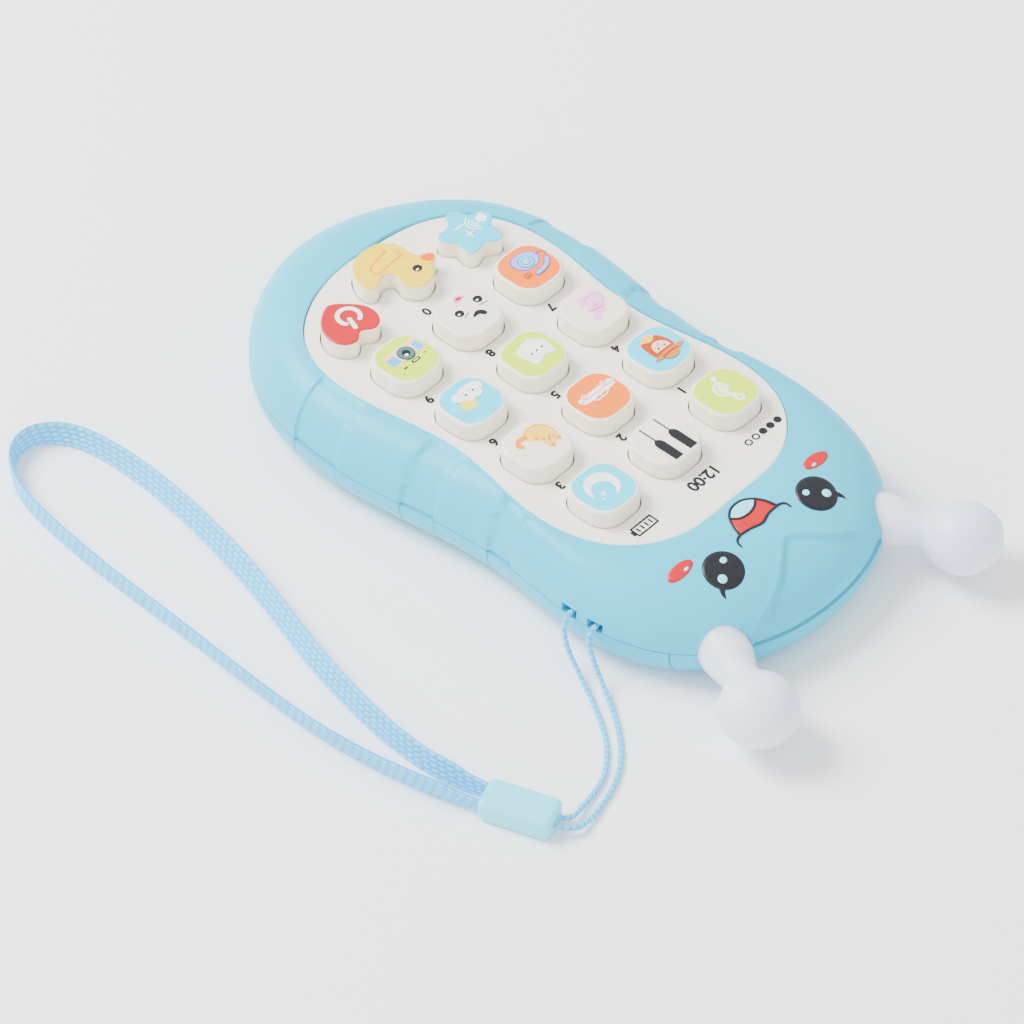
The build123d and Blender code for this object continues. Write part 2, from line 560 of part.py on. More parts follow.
strap_cord_a = cord(STRAP_A, CORD_D, "strap_cord_a")
save(strap_cord_a, "strap_cord_a")
strap_cord_b = cord(STRAP_B, CORD_D, "strap_cord_b")
save(strap_cord_b, "strap_cord_b")
wrist_loop = cord(BAND, BAND_TUBE_D, "wrist_loop")
save(wrist_loop, "wrist_loop")

with BuildPart() as strap_slider:
    with BuildSketch(Plane.XY.offset(0)):
        with Locations(Location((SLIDER_AT[0], SLIDER_AT[1], 0), (0, 0, SLIDER_ANGLE))):
            RectangleRounded(SLIDER_L, SLIDER_W, 1.6)
    extrude(amount=SLIDER_H)
    fillet(strap_slider.faces().sort_by(Axis.Z)[-1].edges(), 1.2)
    fillet(strap_slider.faces().sort_by(Axis.Z)[0].edges(), 1.0)
save(strap_slider.part, "strap_slider")
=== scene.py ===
from contextlib import contextmanager
from math import asin, cos, exp, floor, pi, radians, sin, sqrt

import bmesh
import bpy
import numpy as np
from mathutils import Matrix, Vector
from mathutils.bvhtree import BVHTree


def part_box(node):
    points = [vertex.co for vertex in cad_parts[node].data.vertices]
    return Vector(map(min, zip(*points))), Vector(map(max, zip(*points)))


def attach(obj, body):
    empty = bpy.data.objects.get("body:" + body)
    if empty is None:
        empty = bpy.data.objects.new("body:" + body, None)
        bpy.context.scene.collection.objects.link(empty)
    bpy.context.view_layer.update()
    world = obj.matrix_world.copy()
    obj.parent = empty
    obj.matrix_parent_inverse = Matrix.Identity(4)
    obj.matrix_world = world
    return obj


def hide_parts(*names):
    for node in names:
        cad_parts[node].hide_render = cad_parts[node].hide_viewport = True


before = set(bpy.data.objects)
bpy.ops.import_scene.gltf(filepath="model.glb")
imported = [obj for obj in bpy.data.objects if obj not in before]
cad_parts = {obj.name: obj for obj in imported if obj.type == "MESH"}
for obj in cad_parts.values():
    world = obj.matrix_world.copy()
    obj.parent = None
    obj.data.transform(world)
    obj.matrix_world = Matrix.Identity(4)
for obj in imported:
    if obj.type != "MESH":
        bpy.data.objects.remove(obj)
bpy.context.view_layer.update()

MM = 0.001

# ---- driving dimensions, millimetres ----
PART_Z = 9.3  # parting line of the casing
RIM_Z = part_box("upper_shell")[1][2] / MM  # edge of the upper shell round the plate
PLATE_Z = 20.8  # face of the plate
KEY_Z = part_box("key_5")[1][2] / MM  # tops of the keys
WALL = 2.0
LEDGE_Z = (18.6, 17.1)  # upper and lower face of the ledge under the plate
HEAD_SPLIT_Y = 51.8  # joint between the back shell and the head cover
HEAD_Y = 50.0  # the head's own shapes are in front of this
CASING = [(0, -82.9), (22.4, -75.2), (35.1, -61.4), (40.9, -33.9), (36.8, 8.4),
          (38.4, 33.0), (32.7, 51.9), (19.5, 63.0), (0, 67.1)]
PLATE = [(0, -65.3), (15.5, -63.0), (26.5, -55.0), (30.8, -38.6), (27.7, -10.7),
         (30.8, 14.0), (26.9, 30.0), (15.0, 38.9), (0, 39.8)]
GROOVES = [(-45.0, -33.0), (-16.2, -7.9), (6.1, 12.6)]  # Y ranges of the shallow bands
GROOVE_DEPTH = 0.55
LIP = 0.14  # how far the upper shell draws in at the parting line
SLOTS = ((27.9, 31.9), (34.6, 38.4))  # Y ranges of the two strap slots
BALL = (31.8, 74.5)  # middle of an antenna's ball
BALL_R, BALL_FLAT_R, STEM_HOLE_R = 8.35, 7.35, 5.55
SPLAY = radians(25)
KEY_X = (-18.6, 0.0, 18.6)
KEY_Y = [21.3 - 18.2 * row for row in range(4)]
SHAPED = {"star": (-18.5, -50.1), "duck": (-0.7, -56.0), "heart": (19.0, -49.4)}


def whole(half):
    """The full outline from its half on the +X side."""
    return half + [(-x, y) for x, y in reversed(half[1:-1])]


def inset(points, distance):
    """The outline's points moved in by a distance, or out by a negative one."""
    moved = []
    for i, (x, y) in enumerate(points):
        (xa, ya), (xb, yb) = points[i - 1], points[(i + 1) % len(points)]
        run = sqrt((xb - xa) ** 2 + (yb - ya) ** 2)
        moved.append((x - distance * (yb - ya) / run, y + distance * (xb - xa) / run))
    return moved


def blend(outer, inner, share):
    """An outline between two others; share is the outer one's part."""
    return [(a[0] * share + b[0] * (1 - share), a[1] * share + b[1] * (1 - share))
            for a, b in zip(outer, inner)]


def closed_curve(points, stations):
    """The smooth closed curve through the points, at stations counted in points from the first."""
    p = np.array(points, float)
    n = len(p)
    step = np.linalg.norm(np.roll(p, -1, axis=0) - p, axis=1)
    matrix, right = np.zeros((n, n)), np.zeros((n, 2))
    for i in range(n):
        before, after = step[i - 1], step[i]
        matrix[i, i - 1] += before
        matrix[i, i] += 2 * (before + after)
        matrix[i, (i + 1) % n] += after
        right[i] = 6 * ((p[(i + 1) % n] - p[i]) / after - (p[i] - p[i - 1]) / before)
    bend = np.linalg.solve(matrix, right)
    out = []
    for s in stations:
        i = int(s) % n
        j, h = (i + 1) % n, step[i]
        b = (s - int(s)) * h
        a = h - b
        out.append(bend[i] * a**3 / (6 * h) + bend[j] * b**3 / (6 * h)
                   + (p[i] / h - bend[i] * h / 6) * a + (p[j] / h - bend[j] * h / 6) * b)
    return np.array(out)


def even(count, points):
    """Stations for a closed curve, count of them between each two points."""
    return [i / count for i in range(count * len(points))]


def smooth_step(x):
    x = min(max(x, 0.0), 1.0)
    return x * x * (3 - 2 * x)


# ---- materials ----
VIVID = 1.9  # colours are given as they should look; soft light and film wash them out


def srgb(r, g, b):
    """A linear colour from one given as 0 to 255, with its saturation raised."""
    plain = [(c / 255 / 12.92) if c <= 10 else ((c / 255 + 0.055) / 1.055) ** 2.4 for c in (r, g, b)]
    grey = 0.21 * plain[0] + 0.72 * plain[1] + 0.07 * plain[2]
    return tuple(min(max(grey + (c - grey) * VIVID, 0.004), 0.96) for c in plain) + (1.0,)


def shaded(colour, share):
    return tuple(min(1.0, c * share) for c in colour[:3]) + (1.0,)


class Nodes:
    """A material's node tree, with short calls to add nodes and link them."""

    def __init__(self, name):
        self.material = bpy.data.materials.new(name)
        self.material.use_nodes = True
        self.tree = self.material.node_tree
        self.shader = self.tree.nodes["Principled BSDF"]
        self.place = self.add("ShaderNodeTexCoord").outputs["Object"]

    def add(self, kind, **inputs):
        node = self.tree.nodes.new(kind)
        for key, value in inputs.items():
            self.put(node.inputs[key.replace("_", " ")], value)
        return node

    def put(self, socket, value):
        if isinstance(value, bpy.types.NodeSocket):
            self.tree.links.new(value, socket)
        else:
            socket.default_value = value

    def noise(self, scale, detail=3.0):
        return self.add("ShaderNodeTexNoise", Vector=self.place, Scale=scale,
                        Detail=detail).outputs["Fac"]

    def spread(self, value, low, high, out_low, out_high):
        node = self.add("ShaderNodeMapRange", Value=value)
        for key, number in zip(("From Min", "From Max", "To Min", "To Max"),
                               (low, high, out_low, out_high)):
            node.inputs[key].default_value = number
        return node.outputs["Result"]

    def uneven(self, scale, detail, low, high):
        """Noise as a value between low and high."""
        return self.spread(self.noise(scale, detail), 0.3, 0.7, low, high)

    def cloud(self, scale, detail=4.0):
        """Soft patches, from 0 to 1."""
        return self.spread(self.noise(scale, detail), 0.35, 0.65, 0.0, 1.0)

    def math(self, operation, a, b=0.0):
        node = self.add("ShaderNodeMath")
        node.operation = operation
        self.put(node.inputs[0], a)
        self.put(node.inputs[1], b)
        return node.outputs[0]

    def mix(self, factor, a, b):
        node = self.add("ShaderNodeMix")
        node.data_type = "RGBA"
        self.put(node.inputs["Factor"], factor)
        self.put(node.inputs["A"], a)
        self.put(node.inputs["B"], b)
        return node.outputs["Result"]

    def bump(self, height, distance, normal=None):
        node = self.add("ShaderNodeBump", Height=height, Distance=distance, Strength=1.0)
        if normal:
            self.put(node.inputs["Normal"], normal)
        return node.outputs["Normal"]

    def set(self, **inputs):
        for key, value in inputs.items():
            self.put(self.shader.inputs[key.replace("_", " ")], value)


def moulded(name, colour, rough=0.38, soft=0.1, coat=0.06, grain=1.0, shade=0.96):
    """Injection-moulded plastic: a faint cloudy colour, an uneven gloss and a fine grain."""
    n = Nodes(name)
    n.set(Base_Color=n.mix(n.cloud(38.0), shaded(colour, shade), colour),
          Roughness=n.uneven(140.0, 5.0, rough - 0.05, rough + 0.07), Specular_IOR_Level=SPECULAR,
          Subsurface_Weight=soft, Subsurface_Scale=SOFT_DEPTH, Coat_Weight=coat, Coat_Roughness=0.3,
          Subsurface_Radius=(1.0, 1.0, 1.0), Normal=n.bump(n.noise(GRAIN, 2.0), 0.00002 * grain))
    return n.material


SPECULAR = 0.3  # strength of the reflection of plastic and ink
SOFT_DEPTH = 0.0015  # metres that light goes into the plastic
GRAIN = 2600.0  # fineness of the plastic's grain
SHELL = srgb(124, 184, 203)
CREAM = srgb(244, 240, 231)
DARK = srgb(17, 18, 22)


def shell_material(name, bands_and_painted_joint_shade=False):
    """The casing's plastic; the lower parts carry the shallow bands as relief, and painted shade along
    their joint lines.
    """
    n = Nodes(name)
    colour = n.mix(n.cloud(32.0), srgb(120, 181, 200), srgb(127, 187, 206))
    normal = n.bump(n.noise(GRAIN, 2.0), 0.00002)
    if bands_and_painted_joint_shade:
        place = n.add("ShaderNodeSeparateXYZ", Vector=n.place)
        height = None
        for low, high in GROOVES:
            middle, half = (low + high) / 2 * MM, (high - low) / 2 * MM
            away = n.math("ABSOLUTE", n.math("SUBTRACT", place.outputs["Y"], middle))
            band = n.spread(away, half - 0.0003, half + 0.0003, 0.0, 1.0)
            height = band if height is None else n.math("MULTIPLY", height, band)
        normal = n.bump(height, GROOVE_DEPTH * MM, normal)
        # painted shade: the joint with the head cover and a strip just under the parting line are
        # coloured a darker shell colour, standing in for the shade in the gaps between the parts
        seam = n.math("ABSOLUTE", n.math("SUBTRACT", place.outputs["Y"], HEAD_SPLIT_Y * MM))
        line = n.spread(seam, 0.0001, 0.00022, 1.0, 0.0)
        edge = n.spread(place.outputs["Z"], (PART_Z - 0.2) * MM, (PART_Z - 0.04) * MM, 0.0, 0.3)
        colour = n.mix(n.math("MAXIMUM", line, edge), colour, srgb(80, 120, 134))
    n.set(Base_Color=colour, Roughness=n.uneven(120.0, 5.0, 0.36, 0.47), Normal=normal,
          Subsurface_Weight=0.1, Subsurface_Scale=SOFT_DEPTH, Coat_Weight=0.04, Coat_Roughness=0.35,
          Specular_IOR_Level=SPECULAR)
    return n.material


def ink(name, colour):
    """Pad-printed ink: slightly uneven cover and a soft gloss."""
    n = Nodes(name)
    pale = tuple(min(1.0, c * 1.08 + 0.004) for c in colour[:3]) + (1.0,)
    n.set(Base_Color=n.mix(n.uneven(900.0, 3.0, 0.0, 1.0), colour, pale), Roughness=0.4,
          Coat_Weight=0.06, Specular_IOR_Level=SPECULAR,
          Normal=n.bump(n.noise(1800.0, 2.0), 0.00001))
    return n.material


INKS = {
    "dark": DARK, "white": srgb(248, 248, 246), "lime": srgb(212, 230, 138),
    "sky": srgb(112, 206, 230), "orange": srgb(248, 148, 100), "red": srgb(150, 34, 58),
    "pink": srgb(250, 190, 222), "rose": srgb(240, 150, 180), "yellow": srgb(250, 228, 110),
    "peach": srgb(253, 208, 160), "amber": srgb(244, 158, 84), "violet": srgb(160, 168, 226),
    "navy": srgb(82, 84, 140), "blue": srgb(128, 178, 236), "green": srgb(84, 112, 108),
    "brown": srgb(150, 84, 66), "tan": srgb(176, 130, 104), "skin": srgb(252, 214, 198),
    "grey": srgb(196, 202, 208), "glint": srgb(176, 222, 236), "beak": srgb(246, 130, 100),
}
INK = {name: ink("ink_" + name, colour) for name, colour in INKS.items()}


def milky_material(name, low, high):
    """Soft translucent silicone, cloudy between two colours."""
    n = Nodes(name)
    n.set(Base_Color=n.mix(n.uneven(45.0, 3.0, 0.0, 1.0), low, high),
          Roughness=n.uneven(200.0, 3.0, 0.36, 0.46),
          Subsurface_Weight=0.85, Subsurface_Scale=0.006, Transmission_Weight=0.05,
          Subsurface_Radius=(0.9, 1.0, 1.1), Coat_Weight=0.05,
          Normal=n.bump(n.noise(1500.0, 2.0), 0.000025))
    return n.material


def metal(name, colour, rough, scale=900.0):
    """Plated steel with a mottled gloss."""
    n = Nodes(name)
    n.set(Base_Color=n.mix(n.noise(scale, 4.0), colour, shaded(colour, 0.8)), Metallic=1.0,
          Roughness=n.uneven(scale, 3.0, rough - 0.06, rough + 0.08),
          Normal=n.bump(n.noise(scale * 2, 2.0), 0.00002))
    return n.material


def two_tone(name, cap_colour, height):
    """A key moulded in cream, with its cap above a height printed in a colour."""
    n = Nodes(name)
    z = n.add("ShaderNodeSeparateXYZ", Vector=n.place).outputs["Z"]
    mask = n.spread(z, (height - 0.05) * MM, (height + 0.05) * MM, 0.0, 1.0)
    cloud = n.cloud(60.0)
    base = n.mix(cloud, srgb(241, 236, 225), CREAM)
    cap = n.mix(cloud, shaded(cap_colour, 0.95), cap_colour)
    n.set(Base_Color=n.mix(mask, base, cap), Subsurface_Weight=0.12, Subsurface_Scale=SOFT_DEPTH,
          Roughness=n.uneven(140.0, 5.0, 0.28, 0.38), Coat_Weight=0.08,
          Specular_IOR_Level=SPECULAR, Normal=n.bump(n.noise(GRAIN, 2.0), 0.000015))
    return n.material


def woven(name, low, high):
    """Glossy yarn: plaits that follow the UV, one plait to each unit, paler on their crests as painted
    highlight and darker between them as painted shade.
    """
    n = Nodes(name)
    uv = n.add("ShaderNodeSeparateXYZ", Vector=n.add("ShaderNodeUVMap").outputs["UV"])
    along, lane = uv.outputs["X"], uv.outputs["Y"]
    stagger = n.math("MULTIPLY", n.math("FLOOR", lane), 0.5)
    dash = n.math("ABSOLUTE", n.math("SINE", n.math("MULTIPLY", n.math("ADD", along, stagger), pi)))
    ridge = n.math("ABSOLUTE", n.math("SINE", n.math("MULTIPLY", lane, pi)))
    # painted light: each plait is coloured paler on its crest and darker in its hollows, a painted
    # highlight and painted shade of the braid
    painted_plait_light = n.math("POWER", n.math("MULTIPLY", dash, ridge), 0.7)
    fray = n.uneven(1600.0, 3.0, 0.75, 1.0)
    n.set(Base_Color=n.mix(n.math("MULTIPLY", painted_plait_light, fray), low, high), Roughness=0.5,
          Sheen_Weight=0.1, Sheen_Roughness=0.4, Specular_IOR_Level=0.35,
          Normal=n.bump(n.noise(3200.0, 2.0), 0.00003))
    return n.material


# ---- mesh helpers ----
def in_scene(name, data):
    """A new object in the scene."""
    obj = bpy.data.objects.new(name, data)
    bpy.context.scene.collection.objects.link(obj)
    return obj


@contextmanager
def editing(obj):
    """An object's mesh, open to edit."""
    bm = bmesh.new()
    bm.from_mesh(obj.data)
    yield bm
    bm.to_mesh(obj.data)
    bm.free()


def new_object(name, vertices, faces, materials, smooth=True, indices=None):
    """A mesh object in the scene; indices gives each face's material."""
    mesh = bpy.data.meshes.new(name)
    mesh.from_pydata([tuple(v) for v in vertices], [], faces)
    for material in materials:
        mesh.materials.append(material)
    if indices:
        mesh.polygons.foreach_set("material_index", indices)
    mesh.polygons.foreach_set("use_smooth", [smooth] * len(mesh.polygons))
    mesh.update()
    return in_scene(name, mesh)


def rings_to_mesh(rings, closed_rows=False, caps=False):
    """Vertices and quads of rings of equal length, each ring closed on itself."""
    rows, columns = len(rings), len(rings[0])
    vertices = [v for ring in rings for v in ring]
    faces = []
    for r in range(rows if closed_rows else rows - 1):
        for c in range(columns):
            d, s = (c + 1) % columns, (r + 1) % rows
            faces.append((r * columns + c, r * columns + d, s * columns + d, s * columns + c))
    if caps:
        faces.append(tuple(range(columns))[::-1])
        faces.append(tuple((rows - 1) * columns + c for c in range(columns)))
    return vertices, faces


def outward(obj):
    """Turn every face of a closed mesh to face out."""
    with editing(obj) as bm:
        bmesh.ops.recalc_face_normals(bm, faces=bm.faces)


def resample(points, spacing):
    """Points an even distance apart along a line."""
    p = np.array([tuple(v) for v in points])
    run = np.concatenate([[0], np.cumsum(np.linalg.norm(np.diff(p, axis=0), axis=1))])
    at = np.linspace(0, run[-1], int(run[-1] / spacing) + 1)
    return np.stack([np.interp(at, run, p[:, k]) for k in range(3)], axis=1), at


# ---- stage, light and camera ----
VIEW_AZIMUTH, VIEW_ELEVATION = radians(132.657), radians(46.096)
VIEW_DISTANCE, VIEW_TARGET, LENS = 1.0702, Vector((0.0185, -0.0039, 0)), 182.08


def make_stage():
    n = Nodes("pale_floor")
    n.set(Base_Color=n.mix(n.uneven(3.0, 4.0, 0.0, 1.0), srgb(250, 250, 250), srgb(254, 254, 254)),
          Roughness=0.6, Normal=n.bump(n.noise(700.0, 3.0), 0.00003))
    size = 6.0
    floor = new_object("floor", [(-size, -size, 0), (size, -size, 0), (size, size, 0),
                                 (-size, size, 0)], [(0, 1, 2, 3)], [n.material], smooth=False)
    floor.location.z = -0.00005

    world = bpy.data.worlds.new("studio")
    world.use_nodes = True
    background = world.node_tree.nodes["Background"].inputs
    background["Color"].default_value = (1.0, 1.0, 1.0, 1.0)
    background["Strength"].default_value = 1.6
    bpy.context.scene.world = world

    for name, place, size, power in (("key_light", (0.35, -0.75, 0.95), 0.6, 36.0),
                                     ("fill_light", (0.9, 1.0, 0.8), 1.2, 9.0)):
        light = bpy.data.lights.new(name, "AREA")
        light.energy = power
        light.size = size
        lamp = in_scene(name, light)
        lamp.location = place
        lamp.rotation_euler = (-Vector(place)).to_track_quat("-Z", "Y").to_euler()


def make_camera():
    level = cos(VIEW_ELEVATION)
    back = Vector((level * sin(VIEW_AZIMUTH), -level * cos(VIEW_AZIMUTH), sin(VIEW_ELEVATION)))
    right = Vector((cos(VIEW_AZIMUTH), sin(VIEW_AZIMUTH), 0))
    up = back.cross(right)
    camera = in_scene("camera", bpy.data.cameras.new("camera"))
    camera.data.lens = LENS
    camera.data.sensor_width = 36
    camera.data.clip_start = 0.01
    turn = Matrix((right, up, back)).transposed()
    camera.matrix_world = Matrix.Translation(VIEW_TARGET + back * VIEW_DISTANCE) @ turn.to_4x4()
    bpy.context.scene.camera = camera


make_stage()
make_camera()


# ---- lanyard ----
STRAP_A = [(35.1, 33.25, 10.4), (35.05, 30.2, 10.4), (40.4, 30.3, 10.2), (42.4, 32.4, 6.4),
           (43.7, 37.4, 1.8), (46.8, 44.2, 0.62), (50.4, 50.0, 0.6), (53.7, 54.1, 0.6),
           (57.4, 57.2, 0.6), (60.6, 59.1, 0.6), (64.4, 60.2, 0.62), (69.2, 61.1, 1.0),
           (73.2, 62.2, 1.9), (75.4, 59.9, 2.5)]
STRAP_B = [(35.1, 33.25, 10.4), (35.05, 36.4, 10.4), (40.3, 36.5, 10.0), (41.4, 38.8, 6.0),
           (42.6, 43.0, 1.7), (46.3, 49.5, 0.62), (50.4, 54.7, 0.6), (53.7, 57.9, 0.6),
           (57.2, 60.3, 0.6), (61.2, 62.2, 0.6), (66.0, 63.5, 0.65), (71.0, 64.6, 1.1),
           (75.2, 64.4, 2.0), (77.0, 60.6, 2.5)]
BAND = [(79.1, 45.4, 2.5), (81.1, 38.2, 2.9), (82.1, 27.0, 3.1), (80.5, 12.0, 3.2),
        (76.3, -7.0, 3.1), (70.3, -26.0, 3.1), (66.2, -45.5, 3.2), (64.2, -62.5, 3.1),
        (64.3, -76.5, 3.1), (66.4, -86.0, 3.1), (72.6, -91.6, 3.1), (80.0, -89.6, 3.1),
        (85.6, -80.6, 3.1), (87.6, -67.5, 3.1), (89.0, -50.0, 3.1), (89.4, -29.5, 3.1),
        (90.4, -8.5, 3.1), (90.7, 8.5, 3.1), (89.4, 22.0, 3.1), (87.1, 33.6, 3.0),
        (85.2, 40.6, 2.8), (83.0, 46.9, 2.5)]
CORD_D, BAND_WIDTH, BAND_THICK = 1.2, 5.7, 1.0
LANES, PLAIT = 5, 2.1  # plaits across the band, and the length of one
SLIDER_MIDDLE_Z = 2.5
# how far the band leans over, in degrees from flat, at shares of its length
BAND_LEAN = [(0.0, 80), (0.06, 76), (0.14, 66), (0.3, 62), (0.42, 72), (0.5, 84), (0.56, 88),
             (0.66, 84), (0.8, 78), (0.92, 80), (1.0, 84)]
PINCH = 9.0  # length over which the band narrows into the slider

# each yarn's darker colour is its painted shade between the plaits, and its paler colour is its painted
# highlight on their crests
YARN = woven("braid_yarn", srgb(74, 158, 210), srgb(178, 228, 252))
YARN_THIN = woven("cord_yarn", srgb(78, 160, 210), srgb(170, 222, 250))


def route_line(name, points):
    """Points read from the smooth open line that has the given points as its control points."""
    curve = bpy.data.curves.new(name, "CURVE")
    curve.dimensions = "3D"
    spline = curve.splines.new("NURBS")
    spline.points.add(len(points) - 1)
    for target, (x, y, z) in zip(spline.points, points):
        target.co = (x * MM, y * MM, z * MM, 1)
    spline.order_u = 3
    spline.use_endpoint_u = True
    spline.resolution_u = 24
    curve.resolution_u = 24
    obj = in_scene(name, curve)
    mesh = bpy.data.meshes.new_from_object(obj)
    found = [v.co.copy() for v in mesh.vertices]
    bpy.data.meshes.remove(mesh)
    bpy.data.objects.remove(obj)
    return found


def frames(points):
    """A tangent, a level side direction and an upper direction at each point."""
    tangent = np.gradient(points, axis=0)
    tangent /= np.linalg.norm(tangent, axis=1)[:, None]
    side = np.cross(tangent, (0, 0, 1.0))
    side /= np.maximum(np.linalg.norm(side, axis=1), 1e-6)[:, None]
    return tangent, side, np.cross(side, tangent)


def strap_cord(name, points):
    """A thin cord of three strands laid round each other."""
    line, at = resample(route_line(name + "_line", points), 0.00012)
    tangent, side, up = frames(line)
    for k in range(1, len(line)):  # carry the side direction along, so that it never flips
        side[k] = side[k - 1] - tangent[k] * np.dot(side[k - 1], tangent[k])
        side[k] /= np.linalg.norm(side[k])
        up[k] = np.cross(side[k], tangent[k])
    strand_r, lay_r, pitch, around = 0.00031, 0.00029, 0.0030, 8  # lay_r: cord's line to strand's
    vertices, faces, uvs = [], [], []
    for strand in range(3):
        rings = []
        for k, s in enumerate(at):
            turn = 2 * pi * (s / pitch + strand / 3)
            out = side[k] * cos(turn) + up[k] * sin(turn)
            across = np.cross(tangent[k], out)
            rings.append([])
            for m in range(around):
                angle = 2 * pi * m / around
                rings[-1].append(line[k] + out * lay_r
                                 + strand_r * (out * cos(angle) + across * sin(angle)))
                uvs.append((s / MM * 0.66, 0.15 + 0.7 * m / around))
        v, f = rings_to_mesh(rings, caps=True)
        faces += [tuple(len(vertices) + i for i in face) for face in f]
        vertices += v
    obj = new_object(name, vertices, faces, [YARN_THIN])
    add_uv(obj, uvs)
    outward(obj)
    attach(obj, "casing")
    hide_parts(name.replace("_braid", ""))
    return obj


def add_uv(obj, per_vertex):
    layer = obj.data.uv_layers.new(name="UVMap")
    for loop in obj.data.loops:
        layer.data[loop.index].uv = per_vertex[loop.vertex_index]


def band(length):
    """The flat braided wrist band, leaning on its edge as it lies, two yarns crossing over."""
    line, at = resample(route_line("wrist_band_line", BAND), 0.0003)
    lean = np.radians(np.interp(at / at[-1], *zip(*BAND_LEAN)))
    window = np.hanning(61)
    window /= window.sum()
    lean = np.convolve(np.pad(lean, 30, mode="edge"), window, mode="valid")
    end = np.minimum(at, at[-1] - at) / MM
    narrow = np.array([0.66 + 0.34 * smooth_step(e / PINCH) for e in end])
    held = np.array([1 - smooth_step(e / (2.2 * PINCH)) for e in end])
    half = BAND_WIDTH / 2 * narrow
    rest_z = 0.05 + half * np.sin(lean) + BAND_THICK / 2 * np.cos(lean)
    line[:, 2] = (held * np.maximum(SLIDER_MIDDLE_Z, rest_z) + (1 - held) * rest_z) * MM
    tangent, side, _ = frames(line)
    across_steps = 30
    vertices, uvs = [], []
    for k, s in enumerate(at / MM):
        width_way = side[k] * cos(lean[k]) + np.array((0, 0, 1.0)) * sin(lean[k])
        thick_way = np.cross(tangent[k], width_way)
        for face in (1, -1):
            for m in range(across_steps + 1):
                v = (m / across_steps) * 2 - 1
                v *= face
                edge = sqrt(max(0.0, 1 - abs(v) ** 5))
                lane = (v + 1) / 2 * LANES
                dash = abs(sin(pi * (s / PLAIT + 0.3 * lane + 0.5 * floor(lane))))
                relief = 0.22 * sqrt(abs(sin(pi * lane))) * (0.35 + 0.65 * dash)
                thick = (BAND_THICK / 2 - 0.2 + relief) * (0.25 + 0.75 * edge)
                point = line[k] + width_way * v * half[k] * MM + thick_way * face * thick * MM
                vertices.append(point)
                uvs.append((s / PLAIT + 0.3 * lane, lane))
    columns = 2 * (across_steps + 1)
    rings = [vertices[r * columns:(r + 1) * columns] for r in range(len(at))]
    v, f = rings_to_mesh(rings, caps=True)
    obj = new_object("wrist_band", v, f, [YARN])
    add_uv(obj, uvs)
    outward(obj)
    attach(obj, "casing")
    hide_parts("wrist_loop")
    return obj


strap_cord("strap_cord_a_braid", STRAP_A)
strap_cord("strap_cord_b_braid", STRAP_B)
band(0.2878)


# ---- casing ----
def casing_stations():
    """Stations round the outline, close together at the bands' edges and on the head."""
    ring = whole(CASING)
    fine = even(96, ring)
    places = closed_curve(ring, fine)
    kept, run = [], 0.0
    for k, station in enumerate(fine):
        x, y = places[k]
        step = float(np.linalg.norm(places[k] - places[k - 1]))
        run += step
        near = any(abs(y - edge) < 1.2 for pair in GROOVES for edge in pair)
        wanted = 0.28 if near else (0.5 if y > HEAD_Y else 1.3)
        if k == 0 or run >= wanted:
            kept.append(station)
            run = 0.0
    return kept


def brow(x, y):
    """How far a place on the head is in front of the V-shaped brow line, in millimetres."""
    sweep = 9.2 * (1 - exp(-((x * x + 0.6) ** 0.5 / 8.5) ** 1.4))
    return (y - 53.9 - sweep) / 1.12


def relief(x, y, rise):
    """Depth of the shell's shallow shapes at a place; rise is 0 at the parting line, 1 at the rim."""
    depth = 0.0
    for low, high in GROOVES:
        into = min(y - low, high - y)
        depth += GROOVE_DEPTH * smooth_step(into / 0.6 + 0.5) * (1 - smooth_step((rise - 0.9) / 0.09))
    if y > HEAD_Y:
        ahead = brow(x, y)
        depth += 0.6 * smooth_step(ahead / 0.7 + 0.5) - 0.16 * exp(-((ahead + 0.6) / 0.5) ** 2)
    return depth


